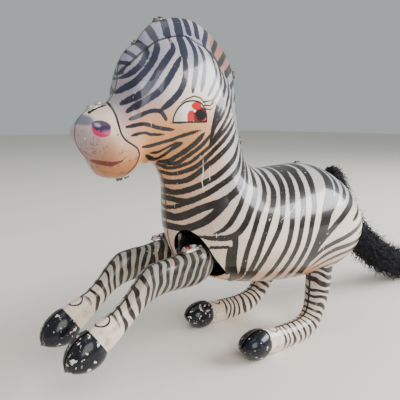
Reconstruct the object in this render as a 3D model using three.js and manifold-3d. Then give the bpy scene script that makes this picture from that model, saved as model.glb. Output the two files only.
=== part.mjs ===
// A wind-up tin zebra that hops: a printed body of two pressed halves, four legs of two pressed
// halves each, and a clockwork motor whose crank rocks the rear legs and, through a link, the front.
// Millimetres, +Z up. The animal faces -Y and its left side is +X. The model is drawn about a point
// on the ground in the mid-plane, between the rear hooves, and the whole group is then shifted so
// that its origin is the bottom centre of its bounding box.

import * as THREE from "three";
import { mergeVertices } from "three/addons/utils/BufferGeometryUtils.js";
import Module from "manifold-3d";

const wasm = await Module();
wasm.setup();

// ---------------------------------------------------------------- driving dimensions

const GAP = 0.3; // air between pieces that touch on the real toy
const WALL = 0.5; // tin of the body and leg pressings
const BODY_ARC_STEPS = 9;
const LEG_ARC_STEPS = 5;
const ROUND = 16; // segments of a small turned piece

const FRONT_AXLE = { y: -20.5, z: 45.4, halfLength: 13.2 };
const REAR_AXLE = { y: 50, z: 34, halfLength: 17.5 };
const AXLE_R = 1.25;
const SHOULDER_OPENING = { x: 8.5, z: 46.6, radiusX: 7.2, radiusZ: 11.7, rearY: -9 };
const HIP_SLOT = { x: [8.9, 21.3], y: [39.6, 59.8], z: [12, 44] };

const PLATE_INNER = 7.6; // half the space between the motor plates
const PLATE_THICK = 0.7;
const PILLAR_R = 1.2;
const ARBOR_R = 1.0;
const RUNNING = 0.35; // radial play of the arbors in their holes

const WINDING = { y: 46, z: 57, radius: 1.6 };
const TOOTH_DEPTH = 2.1; // in modules
const GREAT_WHEEL = { teeth: 30, module: 0.8, x: [0.5, 1.5] };
const SECOND_PINION = { teeth: 8, module: 0.8, x: [0.3, 1.7] };
const SECOND_WHEEL = { teeth: 24, module: 0.7, x: [4.2, 5.0] };
const THIRD_PINION = { teeth: 8, module: 0.7, x: [4.0, 5.2] };
const THIRD_WHEEL = { teeth: 20, module: 0.6, x: [2.0, 2.8] };
const CRANK_PINION = { teeth: 8, module: 0.6, x: [1.8, 3.0] };
const SECOND_ARBOR_ANGLE = 158; // degrees, seen from the left side, of each arbor from the one before
const THIRD_ARBOR_ANGLE = 268;
const CRANK_ARBOR_ANGLE = 246;
const RATCHET = { teeth: 12, root: 3.3, tip: 4.4, x: [2.1, 3.1] };
const CLICK = { pivot: 7, pivotAngle: 20, tip: 6, tipAngle: 75, halfWidth: 0.7 };
const MAINSPRING = { inner: 3, outer: 11, turns: 5, thick: 0.5, x: [-6.2, -1.2] };

const CRANK_THROW = 4;
const CRANK_DISC = { radius: 5.6, x: [-4.6, -3.8] };
const CRANK_LEVER_X = [-7.2, -6.6];
const PIN_R = 0.8;
const PIN_PLAY = 0.45;
const LEVER_HALF_WIDTH = 2.3;
const REAR_LEVER = { arm: 10, x: [6.6, 7.2] };
const FRONT_LEVER = { arm: 8, x: [-0.6, 0.6] };
const LINK = { frontX: [0.95, 1.55], rearX: [5.6, 6.2], joggle: [24, 34], width: 2.4 };
const BRACKET_ARM_X = [2.9, 3.5];
const BRACKET_WEB = { y: [12.5, 13.1], z: [33, 44] };
const KEY = { x: -39.6, lobe: 6.4, lobeHole: 3.1, spread: 7.4, thick: 1.2, barrel: [-37, -30.4] };

// ---------------------------------------------------------------- materials

const material = (color, roughness, metalness) =>
  new THREE.MeshStandardMaterial({ color, roughness, metalness });
const LITHO = material(0xd9d2c2, 0.35, 0.3);
const BRIGHT_TIN = material(0xb9bcc0, 0.35, 0.9);
const STEEL = material(0x8d9096, 0.4, 0.9);
const BRASS = material(0xb5923f, 0.35, 0.9);
const SPRING_STEEL = material(0x4a5568, 0.3, 0.9);
const FUR = material(0x14120f, 0.95, 0.0);

// ---------------------------------------------------------------- outlines of the pressings

// Each row is a section of a pressing: the upper and the lower point of its seam (y, z, y, z), its
// half width, how much its widest place leans to the lower side, and how sharply it closes to the
// upper and the lower seam (1 is an ellipse). A row whose two points agree is a closed end.
const BODY_ROWS = [
  [-64.9, 95.6, -64.9, 95.6, 0, 0, 2.2, 2.2],
  [-64.4, 98.7, -64.7, 93, 4.2, 0, 2.2, 2.2],
  [-62.9, 101.2, -63.7, 90.3, 7.6, 0, 2.2, 2.2],
  [-60.4, 103.1, -61.9, 87.8, 10, 0, 2.2, 2.2],
  [-57.2, 104.5, -59.8, 85.6, 11.6, 0, 1.8, 1.7],
  [-54.6, 105.3, -58.7, 83, 12.4, 0, 1.6, 1.3],
  [-53, 105.9, -56.6, 80.7, 12.7, 0, 1.4, 1],
  [-51.4, 107.4, -53.2, 79.6, 12.6, 0, 1.4, 1],
  [-49.8, 109.9, -49.2, 79.5, 12.3, 0, 1.4, 1],
  [-48.7, 113.4, -45.5, 80.3, 12.1, 0, 1.5, 1.1],
  [-48.3, 117, -43, 82.3, 12.2, 0, 1.6, 1.2],
  [-47.4, 120.6, -41, 83.5, 12.5, 0.02, 1.6, 1.2],
  [-45, 124, -38.8, 83.8, 12.9, 0.05, 1.6, 1.2],
  [-41.2, 126.9, -37, 84.1, 13.3, 0.08, 1.6, 1.2],
  [-38.6, 130.2, -35.4, 84, 13.6, 0.1, 1.6, 1.2],
  [-34.6, 133.9, -34.2, 83.6, 13.8, 0.12, 1.6, 1.2],
  [-29.8, 136.1, -33.2, 82.8, 14, 0.14, 1.6, 1.25],
  [-23, 137.5, -32.2, 81.4, 14.1, 0.16, 1.6, 1.3],
  [-14.6, 136.9, -31.2, 79.7, 14.2, 0.18, 1.65, 1.3],
  [-6.2, 132.7, -30.2, 77.3, 14.3, 0.2, 1.7, 1.3],
  [0.2, 127.4, -29.4, 74.4, 14.4, 0.2, 2, 1.3],
  [4.4, 121, -29, 70.6, 14.7, 0.2, 2.3, 1.3],
  [6.3, 113.2, -29, 66.2, 15.2, 0.18, 2.3, 1.3],
  [7.4, 105, -28.9, 61.6, 16, 0.16, 2.3, 1.3],
  [8.5, 97.2, -28.5, 57, 17.2, 0.13, 2.3, 1.3],
  [9.5, 89.8, -27.6, 52.4, 19, 0.1, 2, 1.25],
  [11.6, 83.2, -25.8, 47.8, 21.2, 0.06, 1.5, 1.2],
  [17, 79.5, -22.2, 42.8, 23.6, 0.04, 1.2, 1.1],
  [25, 78.6, -15.8, 37.6, 25.8, 0.01, 1.1, 1.05],
  [32.6, 78.7, -6, 32.8, 27.4, 0, 1.05, 1],
  [40.6, 79.1, 7, 28.8, 28.5, 0, 1.05, 1],
  [48.6, 79.2, 22, 25.9, 29.2, 0, 1.05, 1],
  [56.4, 78, 37, 24.3, 29.4, 0, 1.05, 1],
  [63.2, 75.2, 50, 23.8, 28.7, 0, 1.05, 1],
  [69, 71.2, 60, 24.7, 26.8, 0, 1.05, 1],
  [73.8, 66, 67.6, 27, 23.7, 0, 1.05, 1],
  [77.4, 60, 73.2, 30.6, 19.4, 0, 1.05, 1],
  [79.8, 53.8, 77.4, 35.4, 13.6, 0, 1.05, 1],
  [81, 48.6, 79.9, 40.4, 7, 0, 1.05, 1],
  [81.2, 44.6, 81.2, 44.6, 0, 0, 1.05, 1],
];

// Legs as they hang at rest, without the hoof. The last number is the distance of the leg's own
// seam plane from the mid-plane of the toy.
const FRONT_LEG_ROWS = [
  [-14.6, 44.4, -14.6, 44.4, 0, 9.7],
  [-15.4, 48.6, -15.6, 40.2, 3.4, 9.7],
  [-17.8, 51.2, -18.4, 37.4, 4.9, 9.7],
  [-21.8, 51.6, -22.8, 36, 5.4, 9.8],
  [-27, 50.4, -28.6, 36, 5.3, 9.9],
  [-33, 49.3, -34.8, 36.3, 5, 10.1],
  [-39, 48.9, -40, 36, 4.8, 10.5],
  [-44.6, 47.7, -43.8, 35, 4.6, 10.9],
  [-48.8, 44, -47, 33.5, 4.5, 11.1],
  [-52.2, 40.3, -49.6, 31.8, 4.2, 11.2],
  [-55.6, 36.9, -52, 29.6, 4.1, 11.2],
  [-58.9, 34.6, -54.8, 27, 4.1, 11.2],
  [-62.6, 33, -58.2, 24.2, 4.4, 11.2],
  [-67.8, 30.8, -62, 21.4, 4.9, 11.2],
];
const REAR_LEG_ROWS = [
  [50.4, 43.6, 50.4, 43.6, 0, 14.4],
  [45.4, 41.8, 55.6, 41.4, 3.4, 14.4],
  [42.8, 38, 58.4, 37.4, 5, 14.5],
  [42.4, 33, 58.4, 32.4, 5.6, 14.8],
  [42.6, 28, 56.6, 27.2, 5.7, 15.2],
  [41.2, 21.6, 54, 20.8, 5.6, 16.4],
  [39.6, 16.4, 50.6, 14.6, 5.2, 17.4],
  [37.8, 12.8, 47.4, 9.2, 4.9, 18.2],
  [35.2, 10.8, 44, 4.6, 4.8, 18.8],
  [31.6, 9.9, 39.8, 0.9, 4.7, 19.2],
  [27, 9.6, 34.4, -1, 4.7, 19.3],
  [22, 9.7, 27, -1.1, 4.7, 19.3],
  [16.4, 10.1, 18, -1, 4.7, 19.3],
  [11.4, 10.7, 11.4, -0.6, 4.8, 19.3],
  [7.8, 11.2, 7.8, 0.4, 5, 19.3],
];

// A hoof in its own plane: distance along the leg and across it for the front and the rear edge, and
// half width. It starts at the pastern with a small step.
const HOOF_ROWS = [
  [0, 5.5, 0, -5.4, 5.3],
  [1.6, 6, 1.6, -6.3, 5.9],
  [4.3, 6.1, 4.3, -6.6, 6.1],
  [7.2, 5.6, 7.2, -5.8, 5.9],
  [9.8, 4.4, 9.8, -4, 5],
  [11.8, 2.7, 11.8, -2, 3.3],
  [12.8, 1, 12.8, -0.3, 1.4],
  [13, 0.3, 13, 0.3, 0],
];
const FRONT_HOOF = { y: -65.4, z: 25.8, slope: 212, x: 11.2 };
const REAR_HOOF = { y: 7.6, z: 6, slope: 179, x: 19.3 };

// The tail: points of its middle line (y, z, x) with its radius, from the collar on the rump.
const TAIL_COLLAR = { y: 71.8, z: 69, outward: 43, radius: 2.4, length: 2.2 };
const TAIL_ROWS = [
  [74.2, 71.3, 0, 2],
  [77.3, 72.6, -0.2, 2.6],
  [81.3, 70, -0.9, 3.8],
  [85.2, 64, -2, 5.2],
  [88.6, 56, -3, 6.4],
  [92.4, 47.6, -3, 7],
  [98, 40.4, -1.8, 7.3],
  [105, 33.4, 0, 7.4],
  [113, 26, 1.8, 7.5],
  [122, 19.6, 3.4, 7.5],
  [132, 14.4, 4.8, 7.4],
  [144, 10.4, 6, 7.2],
  [155, 8.6, 6.9, 6.5],
  [162, 8, 7.4, 4.6],
  [167, 8, 7.8, 1.6],
];

// ---------------------------------------------------------------- geometry helpers

const radians = THREE.MathUtils.degToRad;
const toDegrees = THREE.MathUtils.radToDeg;

function toManifold(geometry) {
  const bare = geometry.clone();
  bare.deleteAttribute("normal");
  bare.deleteAttribute("uv");
  const merged = mergeVertices(bare, 1e-4);
  return new wasm.Manifold(
    new wasm.Mesh({
      numProp: 3,
      vertProperties: new Float32Array(merged.attributes.position.array),
      triVerts: new Uint32Array(merged.index.array),
    }),
  );
}

function fromManifold(solid) {
  const mesh = solid.getMesh();
  const geometry = new THREE.BufferGeometry();
  geometry.setAttribute("position", new THREE.BufferAttribute(mesh.vertProperties, 3));
  geometry.setIndex(new THREE.BufferAttribute(mesh.triVerts, 1));
  return geometry;
}

const join = (...geometries) =>
  fromManifold(geometries.map(toManifold).reduce((a, b) => a.add(b)));
const cut = (geometry, ...tools) =>
  fromManifold(tools.map(toManifold).reduce((a, b) => a.subtract(b), toManifold(geometry)));

// A flat shape drawn in (y, z) and extruded along X between two planes.
const ACROSS = new THREE.Matrix4().makeBasis(
  new THREE.Vector3(0, 1, 0),
  new THREE.Vector3(0, 0, 1),
  new THREE.Vector3(1, 0, 0),
);
function across(shape, x0, x1, curveSegments = ROUND) {
  const geometry = new THREE.ExtrudeGeometry(shape, {
    depth: x1 - x0,
    bevelEnabled: false,
    curveSegments,
  });
  return geometry.translate(0, 0, x0).applyMatrix4(ACROSS);
}

// A flat shape drawn in (x, z) and extruded along Y between two planes.
const ALONG = new THREE.Matrix4().makeBasis(
  new THREE.Vector3(1, 0, 0),
  new THREE.Vector3(0, 0, 1),
  new THREE.Vector3(0, -1, 0),
);
function lengthwise(shape, y0, y1, curveSegments = ROUND) {
  const geometry = new THREE.ExtrudeGeometry(shape, {
    depth: y1 - y0,
    bevelEnabled: false,
    curveSegments,
  });
  return geometry.translate(0, 0, -y1).applyMatrix4(ALONG);
}

function disc(y, z, radius) {
  const shape = new THREE.Shape();
  shape.absarc(y, z, radius, 0, 2 * Math.PI);
  return shape;
}

const rod = (y, z, radius, x0, x1) => across(disc(y, z, radius), x0, x1, ROUND / 2);

// A strip with round ends from one point to another.
function strip(from, to, halfWidth) {
  const lean = Math.atan2(to.z - from.z, to.y - from.y);
  const shape = new THREE.Shape();
  shape.absarc(to.y, to.z, halfWidth, lean - Math.PI / 2, lean + Math.PI / 2);
  shape.absarc(from.y, from.z, halfWidth, lean + Math.PI / 2, lean + 1.5 * Math.PI);
  shape.closePath();
  return shape;
}

function polar(centre, distance, degrees) {
  const angle = radians(degrees);
  return {
    y: centre.y + distance * Math.cos(angle),
    z: centre.z + distance * Math.sin(angle),
  };
}

// ---------------------------------------------------------------- pressed shells

// One half of a pressing as an open bowl of even wall. `side` is +1 for the half towards +X. A
// section's columns are those of a body row, and then the seam plane's own X. Sections run from the
// rear or upper end to the front or lower one, so that the faces point out.
function halfPressing(sections, side, arcSteps) {
  const last = sections.length - 1;
  const starts = [];
  const outer = [];
  const onRim = [];
  sections.forEach((section, i) => {
    const [upY, upZ, lowY, lowZ, halfWidth, lean, upSharp, lowSharp, plane] = section;
    const steps = i === 0 || i === last ? 0 : arcSteps;
    starts.push(outer.length);
    for (let j = 0; j <= steps; j += 1) {
      const angle = steps ? -Math.PI / 2 + (Math.PI * j) / steps : Math.PI / 2;
      const rise = (1 + Math.sin(angle)) / 2;
      const roundness = Math.max(Math.cos(angle), 0) ** (angle > 0 ? upSharp : lowSharp);
      const bulge = (halfWidth - GAP / 2) * roundness * (1 - lean * Math.sin(angle));
      const x = plane + side * (GAP / 2 + Math.max(bulge, 0));
      const z = lowZ + (upZ - lowZ) * rise;
      outer.push(new THREE.Vector3(x, lowY + (upY - lowY) * rise, Math.max(z, 0)));
      onRim.push(j === 0 || j === steps);
    }
  });
  const id = (i, j) => starts[i] + (i === 0 || i === last ? 0 : j);
  const outside = [];
  const addQuad = (list, a, b, c, d) => {
    const corners = side > 0 ? [a, b, c, d] : [d, c, b, a];
    const triangles = [
      [corners[0], corners[1], corners[2]],
      [corners[0], corners[2], corners[3]],
    ];
    for (const triangle of triangles) if (new Set(triangle).size === 3) list.push(...triangle);
  };
  for (let i = 0; i < last; i += 1)
    for (let j = 0; j < arcSteps; j += 1)
      addQuad(outside, id(i, j), id(i, j + 1), id(i + 1, j + 1), id(i + 1, j));

  const skin = new THREE.BufferGeometry().setFromPoints(outer);
  skin.setIndex(outside);
  skin.computeVertexNormals();
  const normals = skin.attributes.normal;
  const inner = outer.map((point, n) => {
    const normal = new THREE.Vector3().fromBufferAttribute(normals, n);
    if (onRim[n]) normal.setX(0).normalize();
    const moved = point.clone().addScaledVector(normal, -WALL);
    moved.z = Math.max(moved.z, WALL);
    return moved;
  });
  const count = outer.length;
  const faces = [...outside];
  for (let k = 0; k < outside.length; k += 3)
    faces.push(outside[k] + count, outside[k + 2] + count, outside[k + 1] + count);
  for (let i = 0; i < last; i += 1) {
    const [a, b] = [id(i, 0), id(i + 1, 0)];
    addQuad(faces, a, b, b + count, a + count);
    const [c, d] = [id(i, arcSteps), id(i + 1, arcSteps)];
    addQuad(faces, d, c, c + count, d + count);
  }
  const geometry = new THREE.BufferGeometry().setFromPoints([...outer, ...inner]);
  return geometry.setIndex(faces);
}

function legSections(legRows, hoof) {
  const along = { y: Math.cos(radians(hoof.slope)), z: Math.sin(radians(hoof.slope)) };
  const front = { y: along.z, z: -along.y };
  const place = (u, n) => [hoof.y + u * along.y + n * front.y, hoof.z + u * along.z + n * front.z];
  const leg = legRows.map(([a, b, c, d, width, x]) => [a, b, c, d, width, 0, 1, 1, x]);
  const hoofRows = HOOF_ROWS.map(([u, n, v, m, width]) => [
    ...place(u, n),
    ...place(v, m),
    width,
    0,
    1,
    1,
    hoof.x,
  ]);
  return [...leg, ...hoofRows];
}

// ---------------------------------------------------------------- gears

// A wheel with plain trapezoid teeth, slim enough to run with play. `turn` is in teeth.
function wheelShape(centre, { teeth, module }, turn, holeRadius) {
  const pitchRadius = (teeth * module) / 2;
  const tip = pitchRadius + 0.85 * module;
  const root = tip - TOOTH_DEPTH * module;
  const pitch = (2 * Math.PI) / teeth;
  const shape = new THREE.Shape();
  const corners = [
    [root, -0.27],
    [tip, -0.11],
    [tip, 0.11],
    [root, 0.27],
  ];
  for (let n = 0; n < teeth; n += 1)
    corners.forEach(([radius, offset], k) => {
      const angle = (n + turn + offset) * pitch;
      const y = centre.y + radius * Math.cos(angle);
      const z = centre.z + radius * Math.sin(angle);
      if (n === 0 && k === 0) shape.moveTo(y, z);
      else shape.lineTo(y, z);
    });
  shape.closePath();
  if (holeRadius) shape.holes.push(disc(centre.y, centre.z, holeRadius));
  return shape;
}

const meshDistance = (a, b) => ((a.teeth + b.teeth) * a.module) / 2;

// How far the second wheel is turned, in its own teeth, so that it meshes with the first one when
// the first is turned by `turn` of its teeth and lies at `degrees` from it.
function meshTurn(first, turn, second, degrees) {
  const firstPhase = (degrees / 360) * first.teeth - turn;
  const secondPhase = ((degrees + 180) / 360) * second.teeth;
  return secondPhase + firstPhase + 0.5;
}

// ---------------------------------------------------------------- the toy

const toy = new THREE.Group();
function add(name, geometry, finish) {
  const mesh = new THREE.Mesh(geometry, finish);
  mesh.name = name;
  toy.add(mesh);
}

const SIDES = [
  ["left", 1],
  ["right", -1],
];

// Body halves. The shoulder openings are punched from the front, and the rear legs hang through
// slots in the belly. The right half has the key hole.
function shoulderPunch(side) {
  const { x, z, radiusX, radiusZ, rearY } = SHOULDER_OPENING;
  const shape = new THREE.Shape();
  shape.absellipse(side * x, z, radiusX, radiusZ, 0, 2 * Math.PI);
  return lengthwise(shape, -60, rearY);
}
function hipPunch(side) {
  const [x0, x1] = HIP_SLOT.x;
  const [y0, y1] = HIP_SLOT.y;
  const [z0, z1] = HIP_SLOT.z;
  const box = new THREE.BoxGeometry(x1 - x0, y1 - y0, z1 - z0);
  return box.translate((side * (x0 + x1)) / 2, (y0 + y1) / 2, (z0 + z1) / 2);
}
const bodySections = BODY_ROWS.map((row) => [...row, 0]).reverse();
for (const [name, side] of SIDES) {
  const punches = [shoulderPunch(side), hipPunch(side)];
  if (side < 0) punches.push(rod(WINDING.y, WINDING.z, WINDING.radius + 1, -40, -10));
  add(`${name}_body_shell`, cut(halfPressing(bodySections, side, BODY_ARC_STEPS), ...punches), LITHO);
}

// Leg halves. The inner one of each pair is bored for the axle that both legs hang on.
for (const [pair, rows, hoof, axle] of [
  ["front", FRONT_LEG_ROWS, FRONT_HOOF, FRONT_AXLE],
  ["rear", REAR_LEG_ROWS, REAR_HOOF, REAR_AXLE],
]) {
  const sections = legSections(rows, hoof);
  for (const [flank, flip] of SIDES) {
    const placed = sections.map((section) => [...section.slice(0, 8), section[8] * flip]);
    const seam = placed[0][8];
    const bore = rod(axle.y, axle.z, AXLE_R + GAP, Math.min(0, seam), Math.max(0, seam));
    add(`${pair}_${flank}_leg_outer`, halfPressing(placed, flip, LEG_ARC_STEPS), LITHO);
    add(`${pair}_${flank}_leg_inner`, cut(halfPressing(placed, -flip, LEG_ARC_STEPS), bore), LITHO);
  }
  add(`${pair}_axle`, rod(axle.y, axle.z, AXLE_R, -axle.halfLength, axle.halfLength), STEEL);
}

// Arbors of the clockwork, each placed from the one before.
const SECOND = polar(WINDING, meshDistance(GREAT_WHEEL, SECOND_PINION), SECOND_ARBOR_ANGLE);
const THIRD = polar(SECOND, meshDistance(SECOND_WHEEL, THIRD_PINION), THIRD_ARBOR_ANGLE);
const CRANK = polar(THIRD, meshDistance(THIRD_WHEEL, CRANK_PINION), CRANK_ARBOR_ANGLE);
const LEVER_REACH = Math.hypot(CRANK.y - REAR_AXLE.y, CRANK.z - REAR_AXLE.z);
const LEVER_ANGLE = toDegrees(Math.atan2(CRANK.z - REAR_AXLE.z, CRANK.y - REAR_AXLE.y));

// Motor plates and the pillars between them.
const PLATE_CORNERS = [
  [13.4, 31.5],
  [52.5, 30],
  [62.5, 44],
  [62.5, 64],
  [58, 70],
  [36, 75.5],
  [29, 75.5],
  [24, 60],
  [13.4, 46],
];
const PILLARS = {
  upper_rear: [58.6, 64.8],
  lower_rear: [59, 46.5],
  upper_front: [32.5, 72.8],
  lower_front: [16.6, 34.6],
};
for (const [name, side] of SIDES) {
  const plate = new THREE.Shape(PLATE_CORNERS.map(([y, z]) => new THREE.Vector2(y, z)));
  const arbors = side > 0 ? [SECOND, THIRD, CRANK] : [SECOND, THIRD];
  for (const arbor of arbors) plate.holes.push(disc(arbor.y, arbor.z, ARBOR_R + RUNNING));
  plate.holes.push(disc(WINDING.y, WINDING.z, WINDING.radius + RUNNING));
  plate.holes.push(disc(REAR_AXLE.y, REAR_AXLE.z, AXLE_R + RUNNING));
  const x0 = side > 0 ? PLATE_INNER : -PLATE_INNER - PLATE_THICK;
  add(`${name}_motor_plate`, across(plate, x0, x0 + PLATE_THICK, ROUND / 2), BRIGHT_TIN);
}
for (const [place, [y, z]] of Object.entries(PILLARS))
  add(`${place}_pillar`, rod(y, z, PILLAR_R, GAP - PLATE_INNER, PLATE_INNER - GAP), STEEL);

// The bracket that carries the front axle: two arms on a cross web.
function frontBracket() {
  const webMiddle = { y: BRACKET_WEB.y[0], z: (BRACKET_WEB.z[0] + BRACKET_WEB.z[1]) / 2 };
  const arm = strip(FRONT_AXLE, webMiddle, LEVER_HALF_WIDTH);
  arm.holes.push(disc(FRONT_AXLE.y, FRONT_AXLE.z, AXLE_R + RUNNING));
  const [x0, x1] = BRACKET_ARM_X;
  const [y0, y1] = BRACKET_WEB.y;
  const [z0, z1] = BRACKET_WEB.z;
  const width = 2 * (PLATE_INNER + PLATE_THICK);
  const web = new THREE.BoxGeometry(width, y1 - y0, z1 - z0);
  web.translate(0, (y0 + y1) / 2, (z0 + z1) / 2);
  const trim = new THREE.BoxGeometry(width, 2 * width, 2 * width).translate(0, y1 + width, webMiddle.z);
  return cut(join(across(arm, x0, x1, ROUND / 2), across(arm, -x1, -x0, ROUND / 2), web), trim);
}
add("front_bracket", frontBracket(), BRIGHT_TIN);

// Mainspring: a spiral ribbon, shown run down.
function spiralRibbon({ inner, outer, turns, thick, x }) {
  const steps = turns * ROUND;
  const edge = (offset) =>
    Array.from({ length: steps + 1 }, (_, n) => {
      const angle = (2 * Math.PI * n) / ROUND;
      const radius = inner + ((outer - inner) * n) / steps + offset;
      return new THREE.Vector2(
        WINDING.y + radius * Math.cos(angle),
        WINDING.z + radius * Math.sin(angle),
      );
    });
  const shape = new THREE.Shape([...edge(thick / 2), ...edge(-thick / 2).reverse()]);
  return across(shape, x[0], x[1]);
}
add("mainspring", spiralRibbon(MAINSPRING), SPRING_STEEL);

// Winding arbor, its ratchet wheel and the butterfly key.
const plateOuter = PLATE_INNER + PLATE_THICK;
add(
  "winding_arbor",
  rod(WINDING.y, WINDING.z, WINDING.radius, KEY.barrel[0] + 3, plateOuter + GAP),
  STEEL,
);
function ratchetShape({ teeth, root, tip }) {
  const shape = new THREE.Shape();
  for (let n = 0; n < teeth; n += 1) {
    const high = polar(WINDING, tip, (360 * n) / teeth);
    const low = polar(WINDING, root, (360 * (n + 0.12)) / teeth);
    if (n === 0) shape.moveTo(high.y, high.z);
    else shape.lineTo(high.y, high.z);
    shape.lineTo(low.y, low.z);
  }
  shape.closePath();
  shape.holes.push(disc(WINDING.y, WINDING.z, WINDING.radius + GAP));
  return shape;
}
add("ratchet_wheel", across(ratchetShape(RATCHET), ...RATCHET.x, ROUND / 2), STEEL);

function butterflyKey() {
  const wings = [-1, 1].map((side) => {
    const lobe = new THREE.Shape();
    lobe.absarc(KEY.x, WINDING.z + side * KEY.spread, KEY.lobe, 0, 2 * Math.PI);
    const hole = new THREE.Path();
    hole.absarc(KEY.x, WINDING.z + side * KEY.spread, KEY.lobeHole, 0, 2 * Math.PI);
    lobe.holes.push(hole);
    return lengthwise(lobe, WINDING.y - KEY.thick / 2, WINDING.y + KEY.thick / 2);
  });
  const neck = new THREE.BoxGeometry(KEY.lobe, KEY.thick, KEY.spread);
  neck.translate(KEY.x, WINDING.y, WINDING.z);
  const barrel = rod(WINDING.y, WINDING.z, WINDING.radius + 1.2, ...KEY.barrel);
  const bore = rod(WINDING.y, WINDING.z, WINDING.radius + GAP, KEY.barrel[0] + 2.7, KEY.barrel[1] + 1);
  return cut(join(...wings, neck, barrel), bore);
}
add("winding_key", butterflyKey(), BRIGHT_TIN);

// Wheels and pinions on their arbors.
const secondTurn = meshTurn(GREAT_WHEEL, 0, SECOND_PINION, SECOND_ARBOR_ANGLE);
const thirdTurn = meshTurn(SECOND_WHEEL, 0, THIRD_PINION, THIRD_ARBOR_ANGLE);
const crankTurn = meshTurn(THIRD_WHEEL, 0, CRANK_PINION, CRANK_ARBOR_ANGLE);
for (const [name, gear, centre, turn, bore, finish] of [
  ["great_wheel", GREAT_WHEEL, WINDING, 0, WINDING.radius + RUNNING, BRASS],
  ["second_pinion", SECOND_PINION, SECOND, secondTurn, ARBOR_R + GAP, STEEL],
  ["second_wheel", SECOND_WHEEL, SECOND, 0, ARBOR_R + GAP, BRASS],
  ["third_pinion", THIRD_PINION, THIRD, thirdTurn, ARBOR_R + GAP, STEEL],
  ["third_wheel", THIRD_WHEEL, THIRD, 0, ARBOR_R + GAP, BRASS],
  ["crank_pinion", CRANK_PINION, CRANK, crankTurn, ARBOR_R + GAP, STEEL],
])
  add(name, across(wheelShape(centre, gear, turn, bore), ...gear.x, ROUND / 2), finish);
// The crank's arbor is overhung: it ends behind the crank disc, clear of the slotted lever.
for (const [name, centre, rightEnd] of [
  ["second_arbor", SECOND, -plateOuter],
  ["third_arbor", THIRD, -plateOuter],
  ["crank_arbor", CRANK, CRANK_DISC.x[0] - GAP],
])
  add(name, rod(centre.y, centre.z, ARBOR_R, rightEnd, plateOuter), STEEL);

// The click rides on the great wheel and lies against the ratchet.
const clickPivot = polar(WINDING, CLICK.pivot, CLICK.pivotAngle);
const clickTip = polar(WINDING, CLICK.tip, CLICK.tipAngle);
add("click", across(strip(clickPivot, clickTip, CLICK.halfWidth), ...RATCHET.x, ROUND / 2), STEEL);

// Crank disc with its pin, at the dead centre where the pin lies in line with the lever.
const crankPin = polar(CRANK, CRANK_THROW, LEVER_ANGLE);
const crankFace = disc(CRANK.y, CRANK.z, CRANK_DISC.radius);
crankFace.holes.push(disc(CRANK.y, CRANK.z, ARBOR_R + GAP));
const crankPinEnd = CRANK_LEVER_X[1] + 0.4;
add(
  "crank_disc",
  join(
    across(crankFace, ...CRANK_DISC.x),
    rod(crankPin.y, crankPin.z, PIN_R, crankPinEnd, (CRANK_DISC.x[0] + CRANK_DISC.x[1]) / 2),
  ),
  STEEL,
);

// Levers on the axles. Each link lever has a stud for the link.
function lever(axle, tip, [x0, x1], slot) {
  const shape = strip(axle, tip, LEVER_HALF_WIDTH);
  shape.holes.push(disc(axle.y, axle.z, AXLE_R + GAP));
  if (slot) shape.holes.push(slot);
  return across(shape, x0, x1, ROUND / 2);
}
const slotHalf = CRANK_THROW + PIN_R + PIN_PLAY;
const leverSlot = strip(
  polar(REAR_AXLE, LEVER_REACH - slotHalf, LEVER_ANGLE),
  polar(REAR_AXLE, LEVER_REACH + slotHalf, LEVER_ANGLE),
  PIN_R + PIN_PLAY,
);
const crankLeverTip = polar(REAR_AXLE, LEVER_REACH + slotHalf + 1, LEVER_ANGLE);
add("rear_crank_lever", lever(REAR_AXLE, crankLeverTip, CRANK_LEVER_X, leverSlot), STEEL);

const rearPin = polar(REAR_AXLE, REAR_LEVER.arm, 90);
const frontPin = polar(FRONT_AXLE, FRONT_LEVER.arm, 90);
const studInto = 0.2;
add(
  "rear_link_lever",
  join(
    lever(REAR_AXLE, rearPin, REAR_LEVER.x),
    rod(rearPin.y, rearPin.z, PIN_R, LINK.rearX[0] - GAP, REAR_LEVER.x[0] + studInto),
  ),
  STEEL,
);
add(
  "front_link_lever",
  join(
    lever(FRONT_AXLE, frontPin, FRONT_LEVER.x),
    rod(frontPin.y, frontPin.z, PIN_R, FRONT_LEVER.x[1] - studInto, LINK.frontX[1] + GAP),
  ),
  STEEL,
);

// The link: a strip on edge, joggled from the plane of the front lever to that of the rear one.
function linkStrip() {
  const run = Math.hypot(rearPin.y - frontPin.y, rearPin.z - frontPin.z);
  const slant = Math.atan2(rearPin.z - frontPin.z, rearPin.y - frontPin.y);
  const [bend, unbend] = LINK.joggle;
  const outline = [
    [-LINK.width, LINK.frontX[0]],
    [bend, LINK.frontX[0]],
    [unbend, LINK.rearX[0]],
    [run + LINK.width, LINK.rearX[0]],
    [run + LINK.width, LINK.rearX[1]],
    [unbend, LINK.rearX[1]],
    [bend, LINK.frontX[1]],
    [-LINK.width, LINK.frontX[1]],
  ];
  const plan = new THREE.Shape(outline.map(([along, x]) => new THREE.Vector2(along, x)));
  const geometry = new THREE.ExtrudeGeometry(plan, { depth: LINK.width, bevelEnabled: false });
  geometry.translate(0, 0, -LINK.width / 2);
  geometry.applyMatrix4(
    new THREE.Matrix4().makeBasis(
      new THREE.Vector3(0, 1, 0),
      new THREE.Vector3(1, 0, 0),
      new THREE.Vector3(0, 0, -1),
    ),
  );
  geometry.rotateX(slant).translate(0, frontPin.y, frontPin.z);
  const eye = (pin, [x0, x1]) => rod(pin.y, pin.z, LINK.width, x0, x1);
  const hole = (pin) => rod(pin.y, pin.z, PIN_R + PIN_PLAY, 0, PLATE_INNER);
  const strap = join(geometry, eye(frontPin, LINK.frontX), eye(rearPin, LINK.rearX));
  return cut(strap, hole(frontPin), hole(rearPin));
}
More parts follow.
